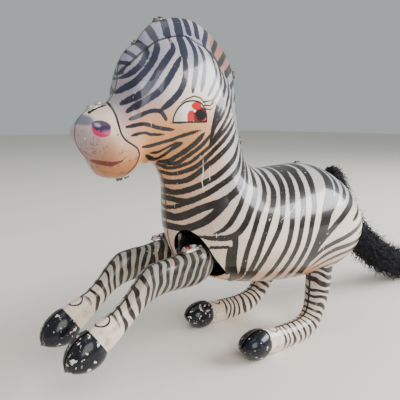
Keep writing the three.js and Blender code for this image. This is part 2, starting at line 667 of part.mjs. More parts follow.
add("drive_link", linkStrip(), STEEL);

// Tail: a tin collar on the rump, and the fur tail itself as one plain bent taper.
function tailCollar() {
  const { y, z, outward, radius, length } = TAIL_COLLAR;
  const ring = new THREE.CylinderGeometry(radius, radius, length, ROUND);
  ring.translate(0, length / 2 + GAP, 0).rotateX(radians(outward));
  return ring.translate(0, y, z);
}
add("tail_collar", tailCollar(), BRIGHT_TIN);

function taperedTube(rows, sides) {
  const points = rows.map(([y, z, x]) => new THREE.Vector3(x, y, z));
  const rings = points.map((point, n) => {
    const ahead = points[Math.min(n + 1, points.length - 1)];
    const behind = points[Math.max(n - 1, 0)];
    const along = ahead.clone().sub(behind).normalize();
    const across = new THREE.Vector3(1, 0, 0).cross(along).normalize();
    const sideways = along.clone().cross(across);
    return Array.from({ length: sides }, (_, k) => {
      const angle = (2 * Math.PI * k) / sides;
      return point
        .clone()
        .addScaledVector(across, rows[n][3] * Math.cos(angle))
        .addScaledVector(sideways, rows[n][3] * Math.sin(angle));
    });
  });
  const last = rings.length - 1;
  const faces = [];
  for (let n = 0; n < last; n += 1)
    for (let k = 0; k < sides; k += 1) {
      const next = (k + 1) % sides;
      const [a, b] = [n * sides + k, n * sides + next];
      faces.push(a, b, b + sides, a, b + sides, a + sides);
    }
  for (let k = 1; k < sides - 1; k += 1) {
    faces.push(0, k + 1, k);
    faces.push(last * sides, last * sides + k, last * sides + k + 1);
  }
  return new THREE.BufferGeometry().setFromPoints(rings.flat()).setIndex(faces);
}
add("tail_fur", taperedTube(TAIL_ROWS, 10), FUR);

// The origin is the bottom centre of the whole toy's box.
const box = new THREE.Box3().setFromObject(toy);
const middle = box.getCenter(new THREE.Vector3());
toy.position.set(-middle.x, -middle.y, -box.min.z);

export default toy;
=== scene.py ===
import math

import bmesh
import bpy
import numpy as np
from mathutils import Matrix, Vector


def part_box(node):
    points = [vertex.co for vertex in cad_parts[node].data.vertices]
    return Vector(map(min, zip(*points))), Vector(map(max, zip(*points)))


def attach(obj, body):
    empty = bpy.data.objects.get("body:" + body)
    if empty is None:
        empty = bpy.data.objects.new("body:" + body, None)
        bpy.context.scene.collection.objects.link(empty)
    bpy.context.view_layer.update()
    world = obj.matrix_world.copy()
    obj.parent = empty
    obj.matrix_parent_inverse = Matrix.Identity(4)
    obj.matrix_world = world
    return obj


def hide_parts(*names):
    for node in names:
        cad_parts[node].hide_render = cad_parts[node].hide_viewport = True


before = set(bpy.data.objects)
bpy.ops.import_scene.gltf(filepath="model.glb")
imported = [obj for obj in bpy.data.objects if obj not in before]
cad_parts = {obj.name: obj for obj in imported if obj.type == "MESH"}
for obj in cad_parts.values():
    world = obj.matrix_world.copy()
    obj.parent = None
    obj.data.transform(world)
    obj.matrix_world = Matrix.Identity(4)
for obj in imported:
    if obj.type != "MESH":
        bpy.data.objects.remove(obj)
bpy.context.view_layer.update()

# ------------------------------------------------------------------ places and sizes
# The toy is drawn in millimetres about a point on the ground in its mid-plane, between the rear
# hooves: it faces -Y, and its left side is +X. The front axle gives that point's place in the frame.

MM = 0.001
FRONT_AXLE = Vector((0, -20.5, 45.4))
axle_low, axle_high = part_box("front_axle")
ORIGIN = (axle_low + axle_high) / 2 - FRONT_AXLE * MM

SIDES = (("left", 1), ("right", -1))
SEAM_GAP = 0.12
WALL = 0.45
SHOULDER_OPENING = {"x": 8.5, "z": 46.6, "radius_x": 7.2, "radius_z": 11.7, "rear_y": -9.0}
HIP_SLOT = {"x": (8.9, 21.3), "y": (39.6, 59.8), "z": (12.0, 44.0), "corner": 4.0}
WINDING = {"y": 46.0, "z": 57.0, "radius": 2.6}

# Sections of the body pressing: upper and lower seam point (y, z, y, z), half width, lean to the
# lower side, and how sharply it closes to the upper and the lower seam.
BODY_ROWS = [
    (-64.9, 95.6, -64.9, 95.6, 0, 0, 2.2, 2.2),
    (-64.4, 98.7, -64.7, 93, 4.2, 0, 2.2, 2.2),
    (-62.9, 101.2, -63.7, 90.3, 7.6, 0, 2.2, 2.2),
    (-60.4, 103.1, -61.9, 87.8, 10, 0, 2.2, 2.2),
    (-57.2, 104.5, -59.8, 85.6, 11.6, 0, 1.8, 1.7),
    (-54.6, 105.3, -58.7, 83, 12.4, 0, 1.6, 1.3),
    (-53, 105.9, -56.6, 80.7, 12.7, 0, 1.4, 1),
    (-51.4, 107.4, -53.2, 79.6, 12.6, 0, 1.4, 1),
    (-49.8, 109.9, -49.2, 79.5, 12.3, 0, 1.4, 1),
    (-48.7, 113.4, -45.5, 80.3, 12.1, 0, 1.5, 1.1),
    (-48.3, 117, -43, 82.3, 12.2, 0, 1.6, 1.2),
    (-47.4, 120.6, -41, 83.5, 12.5, 0.02, 1.6, 1.2),
    (-45, 124, -38.8, 83.8, 12.9, 0.05, 1.6, 1.2),
    (-41.2, 126.9, -37, 84.1, 13.3, 0.08, 1.6, 1.2),
    (-38.6, 130.2, -35.4, 84, 13.6, 0.1, 1.6, 1.2),
    (-34.6, 133.9, -34.2, 83.6, 13.8, 0.12, 1.6, 1.2),
    (-29.8, 136.1, -33.2, 82.8, 14, 0.14, 1.6, 1.25),
    (-23, 137.5, -32.2, 81.4, 14.1, 0.16, 1.6, 1.3),
    (-14.6, 136.9, -31.2, 79.7, 14.2, 0.18, 1.65, 1.3),
    (-6.2, 132.7, -30.2, 77.3, 14.3, 0.2, 1.7, 1.3),
    (0.2, 127.4, -29.4, 74.4, 14.4, 0.2, 2, 1.3),
    (4.4, 121, -29, 70.6, 14.7, 0.2, 2.3, 1.3),
    (6.3, 113.2, -29, 66.2, 15.2, 0.18, 2.3, 1.3),
    (7.4, 105, -28.9, 61.6, 16, 0.16, 2.3, 1.3),
    (8.5, 97.2, -28.5, 57, 17.2, 0.13, 2.3, 1.3),
    (9.5, 89.8, -27.6, 52.4, 19, 0.1, 2, 1.25),
    (11.6, 83.2, -25.8, 47.8, 21.2, 0.06, 1.5, 1.2),
    (17, 79.5, -22.2, 42.8, 23.6, 0.04, 1.2, 1.1),
    (25, 78.6, -15.8, 37.6, 25.8, 0.01, 1.1, 1.05),
    (32.6, 78.7, -6, 32.8, 27.4, 0, 1.05, 1),
    (40.6, 79.1, 7, 28.8, 28.5, 0, 1.05, 1),
    (48.6, 79.2, 22, 25.9, 29.2, 0, 1.05, 1),
    (56.4, 78, 37, 24.3, 29.4, 0, 1.05, 1),
    (63.2, 75.2, 50, 23.8, 28.7, 0, 1.05, 1),
    (69, 71.2, 60, 24.7, 26.8, 0, 1.05, 1),
    (73.8, 66, 67.6, 27, 23.7, 0, 1.05, 1),
    (77.4, 60, 73.2, 30.6, 19.4, 0, 1.05, 1),
    (79.8, 53.8, 77.4, 35.4, 13.6, 0, 1.05, 1),
    (81, 48.6, 79.9, 40.4, 7, 0, 1.05, 1),
    (81.2, 44.6, 81.2, 44.6, 0, 0, 1.05, 1),
]
# Sections of the legs: the two seam points, half width and the seam plane's distance from the middle.
FRONT_LEG_ROWS = [
    (-14.6, 44.4, -14.6, 44.4, 0, 9.7),
    (-15.4, 48.6, -15.6, 40.2, 3.4, 9.7),
    (-17.8, 51.2, -18.4, 37.4, 4.9, 9.7),
    (-21.8, 51.6, -22.8, 36, 5.4, 9.8),
    (-27, 50.4, -28.6, 36, 5.3, 9.9),
    (-33, 49.3, -34.8, 36.3, 5, 10.1),
    (-39, 48.9, -40, 36, 4.8, 10.5),
    (-44.6, 47.7, -43.8, 35, 4.6, 10.9),
    (-48.8, 44, -47, 33.5, 4.5, 11.1),
    (-52.2, 40.3, -49.6, 31.8, 4.2, 11.2),
    (-55.6, 36.9, -52, 29.6, 4.1, 11.2),
    (-58.9, 34.6, -54.8, 27, 4.1, 11.2),
    (-62.6, 33, -58.2, 24.2, 4.4, 11.2),
    (-67.8, 30.8, -62, 21.4, 4.9, 11.2),
]
REAR_LEG_ROWS = [
    (50.4, 43.6, 50.4, 43.6, 0, 14.4),
    (45.4, 41.8, 55.6, 41.4, 3.4, 14.4),
    (42.8, 38, 58.4, 37.4, 5, 14.5),
    (42.4, 33, 58.4, 32.4, 5.6, 14.8),
    (42.6, 28, 56.6, 27.2, 5.7, 15.2),
    (41.2, 21.6, 54, 20.8, 5.6, 16.4),
    (39.6, 16.4, 50.6, 14.6, 5.2, 17.4),
    (37.8, 12.8, 47.4, 9.2, 4.9, 18.2),
    (35.2, 10.8, 44, 4.6, 4.8, 18.8),
    (31.6, 9.9, 39.8, 0.9, 4.7, 19.2),
    (27, 9.6, 34.4, -1, 4.7, 19.3),
    (22, 9.7, 27, -1.1, 4.7, 19.3),
    (16.4, 10.1, 18, -1, 4.7, 19.3),
    (11.4, 10.7, 11.4, -0.6, 4.8, 19.3),
    (7.8, 11.2, 7.8, 0.4, 5, 19.3),
]
# Sections of a hoof: distance along the leg and across it, front edge and rear edge, half width.
HOOF_ROWS = [
    (0, 5.5, 0, -5.4, 5.3),
    (1.6, 6, 1.6, -6.3, 5.9),
    (4.3, 6.1, 4.3, -6.6, 6.1),
    (7.2, 5.6, 7.2, -5.8, 5.9),
    (9.8, 4.4, 9.8, -4, 5),
    (11.8, 2.7, 11.8, -2, 3.3),
    (12.8, 1, 12.8, -0.3, 1.4),
    (13, 0.3, 13, 0.3, 0),
]
FRONT_HOOF = {"y": -65.4, "z": 25.8, "slope": 212, "x": 11.2}
REAR_HOOF = {"y": 7.6, "z": 6, "slope": 179, "x": 19.3}


# ------------------------------------------------------------------ lofted pressings


def spline(rows, at):
    """Smooth rows at the given places, by a Catmull-Rom spline through each column."""
    rows = np.array(rows, float)
    last = len(rows) - 1

    def beyond(end, neighbour):
        if tuple(end[0:2]) != tuple(end[2:4]):
            return end
        mirrored = neighbour.copy()
        mirrored[[0, 1, 2, 3]] = neighbour[[2, 3, 0, 1]]
        mirrored[4] = -neighbour[4]
        return mirrored

    padded = np.vstack([beyond(rows[0], rows[1]), rows, beyond(rows[last], rows[last - 1])])
    index = np.minimum(np.asarray(at, float).astype(int), last - 1)
    t = (np.asarray(at, float) - index)[:, None]
    a, b, c, d = (padded[index + k] for k in range(4))
    return (
        (-t + 2 * t**2 - t**3) * a
        + (2 - 5 * t**2 + 3 * t**3) * b
        + (t + 4 * t**2 - 3 * t**3) * c
        + (-(t**2) + t**3) * d
    ) / 2


def even_places(rows, spacing):
    """Places along the rows about `spacing` apart; spacing is a function of the place."""
    dense = np.linspace(0, len(rows) - 1, 40 * (len(rows) - 1) + 1)
    s = spline(rows, dense)
    steps = [np.hypot(*(np.diff(s[:, k : k + 2], axis=0).T)) for k in (0, 2)]
    width = np.abs(np.diff(s[:, 4]))
    length = np.maximum(np.maximum(*steps), width)
    middle = (dense[1:] + dense[:-1]) / 2
    density = np.concatenate([[0], np.cumsum(length / np.array([spacing(m) for m in middle]))])
    count = max(int(round(density[-1])), 8)
    return np.interp(np.linspace(0, density[-1], count + 1), density, dense)


def sweep(sections, side, angles, upper_gap=SEAM_GAP):
    """Points of one half: rows of sections by angle, -90 degrees at the lower seam to 90 at the upper."""
    upper_gap = np.broadcast_to(upper_gap, len(sections))[:, None]
    near_upper = np.clip(2 * np.sin(angles)[None] - 0.6, 0, 1)
    gap = SEAM_GAP + (upper_gap - SEAM_GAP) * near_upper
    s = sections[:, None, :]
    sine = np.sin(angles)[None]
    rise = (1 + sine) / 2
    sharp = np.where(sine > 0, s[..., 6], s[..., 7])
    roundness = np.power(np.clip(np.cos(angles)[None], 0, 1), sharp)
    bulge = (s[..., 4] - gap / 2) * roundness * (1 - s[..., 5] * sine)
    x = s[..., 8] + side * (gap / 2 + np.maximum(bulge, 0))
    y = s[..., 2] + (s[..., 0] - s[..., 2]) * rise
    z = np.maximum(s[..., 3] + (s[..., 1] - s[..., 3]) * rise, 0)
    return np.stack([x, y, z], -1)


def body_sections(at):
    rows = spline(BODY_ROWS, at)
    return np.hstack([rows, np.zeros((len(rows), 1))])


def leg_sections(leg_rows, hoof, spacing):
    """Leg and hoof sections at an even spacing, the leg first."""
    slope = math.radians(hoof["slope"])
    along = np.array([math.cos(slope), math.sin(slope)])
    front = np.array([along[1], -along[0]])
    start = np.array([hoof["y"], hoof["z"]])
    hoof_rows = [
        [*(start + u * along + n * front), *(start + v * along + m * front), width, hoof["x"]]
        for u, n, v, m, width in HOOF_ROWS
    ]

    def smooth(rows):
        return spline(rows, even_places(rows, lambda place: spacing))

    leg, toe = smooth(leg_rows), smooth(hoof_rows)
    both = np.vstack([leg, toe])
    ones = np.ones((len(both), 1))
    sections = np.hstack([both[:, :5], 0 * ones, ones, ones, both[:, 5:]])
    is_hoof = np.concatenate([np.zeros(len(leg)), np.ones(len(toe))])
    return sections, is_hoof


def grid_object(name, grid, flip, attributes):
    """A mesh from a grid of millimetre points, with point attributes of the same grid shape."""
    rows, columns = grid.shape[:2]
    index = np.arange(rows * columns).reshape(rows, columns)
    faces = np.stack([index[:-1, :-1], index[:-1, 1:], index[1:, 1:], index[1:, :-1]], -1).reshape(-1, 4)
    if flip:
        faces = faces[:, ::-1]
    mesh = bpy.data.meshes.new(name)
    mesh.from_pydata((grid.reshape(-1, 3) * MM + np.array(ORIGIN)).tolist(), [], faces.tolist())
    for key, values in attributes.items():
        layer = mesh.attributes.new(key, "FLOAT", "POINT")
        layer.data.foreach_set("value", np.ascontiguousarray(values, np.float32).ravel())
    made = bpy.data.objects.new(name, mesh)
    bpy.context.scene.collection.objects.link(made)
    return made


def weld(made, distance=0.02):
    """Merges the points of closed ends."""
    work = bmesh.new()
    work.from_mesh(made.data)
    bmesh.ops.remove_doubles(work, verts=work.verts, dist=distance * MM)
    work.to_mesh(made.data)
    work.free()


def apply_modifiers(made):
    graph = bpy.context.evaluated_depsgraph_get()
    solid = bpy.data.meshes.new_from_object(made.evaluated_get(graph))
    made.modifiers.clear()
    old = made.data
    made.data = solid
    bpy.data.meshes.remove(old)
    return made


def thicken(made, depth):
    """Gives the skin its wall; inner faces and rims take the second material."""
    wall = made.modifiers.new("wall", "SOLIDIFY")
    wall.thickness = depth * MM
    wall.offset = -1
    wall.material_offset = 1
    wall.material_offset_rim = 1
    return apply_modifiers(made)


def prism(name, outline, low, high, axis):
    """A solid of an outline extruded along X or Y, as a cutting tool."""
    points = []
    for level in (low, high):
        for a, b in outline:
            points.append((level, a, b) if axis == "x" else (a, level, b))
    count = len(outline)
    faces = [[k, (k + 1) % count, count + (k + 1) % count, count + k] for k in range(count)]
    faces += [list(range(count))[::-1], list(range(count, 2 * count))]
    mesh = bpy.data.meshes.new(name)
    mesh.from_pydata([Vector(p) * MM + ORIGIN for p in points], [], faces)
    made = bpy.data.objects.new(name, mesh)
    bpy.context.scene.collection.objects.link(made)
    work = bmesh.new()
    work.from_mesh(mesh)
    bmesh.ops.recalc_face_normals(work, faces=work.faces)
    work.to_mesh(mesh)
    work.free()
    return made


def punch(made, *tools):
    for tool in tools:
        cutter = made.modifiers.new(tool.name, "BOOLEAN")
        cutter.operation = "DIFFERENCE"
        cutter.solver = "EXACT"
        cutter.object = tool
    apply_modifiers(made)
    for tool in tools:
        bpy.data.objects.remove(tool)


def smooth_by_angle(made, degrees=38):
    """Smooth faces, with an edge kept sharp where it turns by more than the angle."""
    work = bmesh.new()
    work.from_mesh(made.data)
    for face in work.faces:
        face.smooth = True
    for edge in work.edges:
        edge.smooth = len(edge.link_faces) == 2 and edge.calc_face_angle(0) < math.radians(degrees)
    work.to_mesh(made.data)
    work.free()


# ------------------------------------------------------------------ printed stripes
# Each stroke is drawn on the side view of a body half: its width, and the points of its middle
# line as (y, z). It tapers to both ends; a negative width keeps its first end full.
# Most of these points, and many of the mane, muzzle and eye points below, are the rounded output of
# a scratch program that projected marked places onto the body. They were not drawn by hand.

STRIPES = [
    # forehead and cheek, from the mane down and forward
    (1.6, (-40, 126), (-40, 123), (-42, 120), (-45, 117), (-48.5, 114)),
    (1.9, (-36.5, 128), (-36.5, 125), (-40, 119), (-44.5, 114.5), (-50, 109)),
    (2.2, (-31.5, 128), (-31, 125), (-34, 121.5), (-37.5, 117.5), (-41.5, 112.5), (-45, 109), (-51, 105)),
    (3.4, (-27, 129.5), (-27, 126), (-27.5, 121.5)),
    (2.2, (-29, 122), (-33.5, 116.5), (-39, 110), (-43.5, 107), (-50.5, 102.5)),
    (2.4, (-27.5, 123), (-28, 118.5), (-29, 114.5), (-31.5, 110), (-35, 106.5), (-39.5, 103.2)),
    (2.2, (-24, 130), (-22.3, 127), (-22, 123.5), (-23.5, 118), (-26.5, 109.5)),
    (1.9, (-19.5, 127), (-18.2, 123.5), (-19, 118.5), (-22.5, 110)),
    (1.5, (-16.5, 127), (-13.7, 124.5), (-12.5, 121), (-13.2, 116), (-19.5, 108.3)),
    (1.5, (-13.5, 125.5), (-10.7, 122.5), (-9.8, 118), (-11, 113.3), (-18, 105.8)),
    (1.9, (-8.2, 118.2), (-7.7, 113.5), (-10.7, 109), (-14.5, 105), (-16.4, 100), (-18.5, 91.5)),
    (1.4, (-10.3, 107.5), (-13, 103.7), (-15.3, 100.5)),
    (1.5, (-4.6, 116), (-5, 111.5), (-8.5, 106.5), (-12, 102), (-15.5, 98.5), (-17.5, 95)),
    (1.5, (-0.7, 112), (-4.8, 106.5), (-8.7, 102), (-12.3, 98), (-16, 94), (-19, 90.5)),
    # brow and cheek, from the muzzle back
    (-1.5, (-39.8, 103.1), (-42.6, 103), (-45.4, 102.1), (-48, 101), (-50.5, 100)),
    (-1.5, (-39.8, 103.1), (-38.5, 102), (-36.8, 99.8)),
    (1.4, (-52.2, 97.6), (-49, 98.2), (-46, 98.7), (-42.8, 98.2), (-39.5, 97.3), (-33, 96.5)),
    (1.1, (-50.8, 94.7), (-48, 95.4), (-45, 95.7), (-42, 95.1), (-37, 95)),
    (1.4, (-45.8, 90.9), (-42, 91.1), (-38, 92), (-33.8, 93), (-30, 94.4), (-22.5, 96.4)),
    (1.1, (-41, 88.5), (-37.5, 88.7), (-34.7, 90.1), (-32, 91.5), (-29, 92.2)),
    (1.5, (-42.5, 88), (-39.5, 86.6), (-36.5, 85.9), (-34.5, 87.3), (-32.3, 89.7), (-29, 91.7)),
    (2.0, (-35, 85), (-32, 85.1), (-29.8, 87), (-27, 89.4), (-23.8, 92.3), (-21, 95.5)),
    (1.6, (-32.4, 83.9), (-29.4, 84.3), (-27, 86.4), (-23.8, 89.1), (-21, 91.6), (-18.4, 94.8)),
    # throat and neck rings
    (1.4, (-34.5, 84.2), (-32.3, 83), (-30, 82.3), (-25.3, 84.5), (-22.5, 87), (-15.5, 93), (-10.5, 97),
     (-4.6, 101.5)),
    (1.8, (-32.5, 81.2), (-30.5, 80.2), (-28.5, 80.2), (-23.2, 83), (-17, 88.8), (-13, 92), (-8, 96),
     (-3.4, 99.5)),
    (-2.1, (-31.5, 77.6), (-29.3, 76.7), (-25.5, 77.8), (-20.3, 82.5), (-17, 85), (-13, 88), (-7, 92.3),
     (-1.8, 96.4)),
    (-2.2, (-30, 73.5), (-27.7, 72.8), (-23, 75.2), (-20, 77), (-16.4, 79), (-12, 82), (-7, 85.5),
     (-2, 90), (0.8, 92.6)),
    (-2.2, (-29, 70.3), (-26.7, 69.7), (-24, 70.2), (-18, 73.8), (-14.3, 76), (-9.6, 78.6), (-4, 82.7),
     (0, 87), (3, 89.8)),
    (-1.5, (-29.2, 66.5), (-28, 67), (-26, 68.5), (-22.5, 70.4)),
    (-2.8, (-29, 63.5), (-27.5, 63), (-23, 66.2), (-19.4, 68), (-15.4, 69.4), (-11, 71.6), (-6.4, 75),
     (0, 82), (5.4, 87)),
    (-2.8, (-29, 59.2), (-26, 58.9), (-23.5, 60.2), (-20.6, 62.3), (-17.8, 65), (-14.8, 68), (-11.5, 71)),
    # shoulder
    (2.0, (-18.5, 57.3), (-15.6, 58.8), (-12.7, 61.8), (-10, 65.3), (-6.2, 70.3), (-2.3, 74.7),
     (1.5, 79.5), (6.5, 84.5)),
    (2.5, (-22.5, 56.2), (-18.7, 55.5), (-14.4, 55.7), (-11, 57), (-7.5, 60.6), (-4, 65.6), (1, 71.2),
     (5.5, 77.5), (9, 83)),
    (-2.3, (-11.4, 55.5), (-11, 48.5), (-9, 42.4), (-5, 36.5), (-1, 31)),
    (1.4, (-19.8, 51.7), (-16.6, 51.8), (-13, 52)),
    (1.7, (-13.4, 52), (-12.6, 47), (-10.9, 42.5), (-8.4, 38)),
    # barrel of the body, front to rear
    (-2.2, (10.3, 80), (11, 77), (8.5, 73.3), (4.7, 69.2), (-0.7, 63.8), (-4.1, 57.7), (-6.2, 50.6),
     (-5.4, 43.2), (-1, 33)),
    (-2.4, (18.3, 79.2), (14.6, 76), (12, 71.5), (8, 67), (3.2, 61), (-0.2, 53.7), (-1.4, 46.5),
     (-1, 39.5), (2, 31)),
    (-2.5, (25, 79), (22, 76.6), (17.8, 72.2), (12.7, 66.3), (8, 58), (4.2, 51), (2.2, 43.6), (2.4, 36),
     (6, 29.5)),
    (-2.8, (31.2, 79), (27.2, 76.5), (22.6, 71.8), (17.4, 65.5), (14.2, 57.6), (12, 49), (10, 41.5),
     (10, 34.3), (13, 28)),
    (-2.9, (36.8, 79), (33, 76.8), (28.5, 71.8), (23.9, 65.6), (19.7, 57), (17.6, 48.2), (16, 40.5),
     (16.4, 33.6), (20, 27)),
    (-2.9, (43, 79.2), (39.7, 76.5), (34.4, 71), (30.4, 65), (25.7, 57), (23.4, 47.7), (22, 39.8),
     (22.6, 33), (27, 26)),
    (-4.4, (51, 78), (49.5, 74), (43.5, 68), (36.8, 62.3), (33.3, 56.8), (29.5, 48), (28, 39.6),
     (29, 33), (34, 25.5)),
    # fan over the rump
    (3.8, (43, 66.5), (39, 62), (35, 56), (31.2, 49.5), (29.6, 42)),
    (-2.5, (54.5, 80), (55, 74), (51.5, 69.5), (46.5, 65.5), (38.5, 60), (33, 54)),
    (-2.3, (62, 79), (61, 72.5), (56.5, 67.5), (49.5, 63.5)),
    (-3.0, (70, 75), (66.5, 68.5), (58.5, 63), (48, 58), (40, 53.9), (33.5, 49.3), (29, 43)),
    (-2.3, (76.5, 69.5), (71, 62.5), (63, 57.5), (55, 54.2)),
    (-2.5, (81, 63), (74, 56), (66, 52), (57.5, 49.4), (49, 47.5), (40.5, 46), (33.5, 43.6), (29, 38)),
    (-1.8, (83, 56), (76, 50.5), (69, 47.8), (62, 46.2)),
    (-2.5, (83, 49.5), (75, 45), (67, 43.6), (60, 42.9), (50.3, 42.7), (42.3, 42.2), (36, 39.6), (32, 35)),
    (-2.1, (82, 42.5), (74, 39.8), (67, 39.3), (60, 38.9), (50.2, 38.5), (42.6, 37), (35, 34)),
    (-1.8, (79, 36), (70, 34.8), (62, 34.2), (51.5, 33.7), (42.4, 32.2)),
    (-1.6, (74, 31.5), (64, 30.6), (54, 30.2)),
]
# Dark blocks of the mane, from the top seam to its edge line: width, and two points.
MANE_BLOCKS = [
    (1.5, (-47.6, 119.5), (-46.4, 119)),
    (1.6, (-45.2, 123.4), (-44, 121.4)),
    (2.3, (-41, 127), (-40.2, 124.6)),
    (2.4, (-36.2, 133), (-36.2, 128)),
    (2.8, (-29.6, 136), (-31.6, 129.6)),
    (3.4, (-24.2, 137), (-26.4, 130.6)),
    (2.6, (-20.2, 137), (-21.7, 131.4)),
    (2.4, (-15.6, 136.4), (-18.1, 130.4)),
    (2.4, (-9.8, 134.4), (-15.6, 128)),
    (2.4, (-4, 131.3), (-11.6, 125.6)),
    (2.6, (0.6, 126.6), (-8.4, 121.4)),
    (3.1, (4, 121.4), (-5, 117.5)),
    (2.4, (5.6, 115.8), (-2, 113)),
    (2.2, (6.8, 110), (0, 107.6)),
    (2.2, (7.4, 104.6), (2, 103)),
    (2.4, (8.2, 98.8), (2.5, 97)),
    (2.2, (9.2, 93), (5, 92)),
]
# The edge line of the mane, from the forehead seam to the back of the neck.
MANE_EDGE = [
    (-48.6, 114), (-47.8, 117), (-46.4, 118.7), (-43.8, 121), (-39.8, 124.2), (-36, 127), (-31.6, 128.6),
    (-26.5, 129.8), (-23, 129.6), (-20, 128), (-16.2, 126.7), (-13, 124.5), (-10.3, 121.8), (-8.8, 118.5),
    (-7.4, 114.4), (-5.7, 109.6), (-4.5, 104.6), (-3, 99), (0, 92), (5, 85),
]
# The line round the muzzle, from the nose down to the chin.
MUZZLE_EDGE = [
    (-52.4, 107.5), (-53.3, 105), (-54, 101.3), (-54.4, 98.5), (-54.2, 95.6), (-52.6, 93.4), (-50, 91.9),
    (-47.8, 90.6), (-46.4, 88.4), (-46.5, 85.6), (-47.6, 83.2), (-49.5, 80.8), (-51, 77),
]
# The upper outline of the eye, from the front corner over to the rear one; a straight line closes it.
EYE_LID = [
    (-34.4, 99.2), (-33.9, 101.8), (-32.3, 104.3), (-29.5, 106.2), (-26, 106.7), (-23, 106.1),
     (-21.2, 104.2),
    (-20.3, 101.8), (-20.3, 99.3),
]
EYE_CORNER = (-34.4, 99.2)


def smooth_line(points, per_span=5):
    """A smooth line through the points, ends held."""
    points = np.array(points, float)
    padded = np.vstack([2 * points[0] - points[1], points, 2 * points[-1] - points[-2]])
    spans = len(points) - 1
    at = np.linspace(0, spans, spans * per_span + 1)
    index = np.minimum(at.astype(int), spans - 1)
    t = (at - index)[:, None]
    a, b, c, d = (padded[index + k] for k in range(4))
    line = (-t + 2 * t**2 - t**3) * a + (2 - 5 * t**2 + 3 * t**3) * b
    line += (t + 4 * t**2 - 3 * t**3) * c + (-(t**2) + t**3) * d
    return line / 2


def stroke_distance(points, line, half_width, keep_start, keep_end):
    """Distance of side-view points from the edge of a tapered stroke, negative inside."""
    seg_start, seg_end = line[:-1], line[1:]
    run = seg_end - seg_start
    length = np.hypot(*run.T)
    travelled = np.concatenate([[0], np.cumsum(length)])
    offset = points[:, None, :] - seg_start[None]
    t = np.clip((offset * run[None]).sum(-1) / np.maximum(length**2, 1e-9)[None], 0, 1)
    gap = np.hypot(*np.moveaxis(offset - t[..., None] * run[None], -1, 0))
    place = (travelled[:-1][None] + t * length[None]) / travelled[-1]
    taper = 0.16
    start = 1 if keep_start else np.clip(place / taper, 0, 1)
    end = 1 if keep_end else np.clip((1 - place) / taper, 0, 1)
    half = half_width * (0.25 + 0.75 * np.sqrt(start * end))
    return (gap - half).min(1)


def stripe_field(points):
    """Distance to the nearest printed stripe for every side-view point, negative inside."""
    field = np.full(len(points), 4.0)
    strokes = [(abs(width), list(line), width < 0, False) for width, *line in STRIPES]
    strokes += [(width, list(line), True, True) for width, *line in MANE_BLOCKS]
    for width, line, keep_start, keep_end in strokes:
        line = smooth_line(line)
        reach = width + 3
        low, high = line.min(0) - reach, line.max(0) + reach
        near = np.all((points > low) & (points < high), axis=1)
        distance = stroke_distance(points[near], line, width / 2, keep_start, keep_end)
        field[near] = np.minimum(field[near], distance)
    return field


def side_of(line, points, reach=6):
    """Signed distance of side-view points to a smooth line: positive on its left."""
    start, run = line[:-1], np.diff(line, axis=0)
    offset = points[:, None, :] - start[None]
    t = np.clip((offset * run[None]).sum(-1) / (run**2).sum(-1)[None], 0, 1)
    away = offset - t[..., None] * run[None]
    distance = np.hypot(away[..., 0], away[..., 1])
    nearest = distance.argmin(1)
    pick = np.arange(len(points))
    cross = run[nearest, 0] * away[pick, nearest, 1] - run[nearest, 1] * away[pick, nearest, 0]
    return np.clip(distance[pick, nearest] * np.sign(cross), -reach, reach)


def mane_field(points):
    """Positive on the mane, zero on its edge line."""
    field = side_of(smooth_line(MANE_EDGE, 3), points)
    on_face = (points[:, 0] < -46.5) & (points[:, 1] < 115)
    on_back = points[:, 1] < 84
    return np.where(on_face | on_back, -6, field)


def muzzle_field(points):
    """Positive on the pale muzzle, zero on the line round it."""
    elsewhere = (points[:, 1] > 110) | (points[:, 0] > -45)
    return np.where(elsewhere, -6, -side_of(smooth_line(MUZZLE_EDGE, 3), points))


def eye_field(points):
    """Positive in the white of the eye, zero on its outline."""
    outline = np.vstack([smooth_line(EYE_LID, 4), EYE_CORNER])
    distance = np.abs(side_of(outline, points))
    inside = np.zeros(len(points), bool)
    for (y0, z0), (y1, z1) in zip(outline[:-1], outline[1:]):
        if z0 == z1:
            continue
        crossing = (points[:, 1] > min(z0, z1)) & (points[:, 1] <= max(z0, z1))
        inside ^= crossing & (points[:, 0] < y0 + (points[:, 1] - z0) * (y1 - y0) / (z1 - z0))
    return np.where(inside, distance, -distance)


def paint(made, name, field):
    """Stores a field of the side view (y, z in millimetres) on the points of a piece."""
    count = len(made.data.vertices)
    points = np.zeros(count * 3, np.float32)
    made.data.vertices.foreach_get("co", points)
    points = (points.reshape(-1, 3) - np.array(ORIGIN)) / MM
    values = np.concatenate([field(points[k : k + 4000, 1:]) for k in range(0, count, 4000)])
    layer = made.data.attributes.new(name, "FLOAT", "POINT")
    layer.data.foreach_set("value", values.astype(np.float32))


# ------------------------------------------------------------------ shader helpers


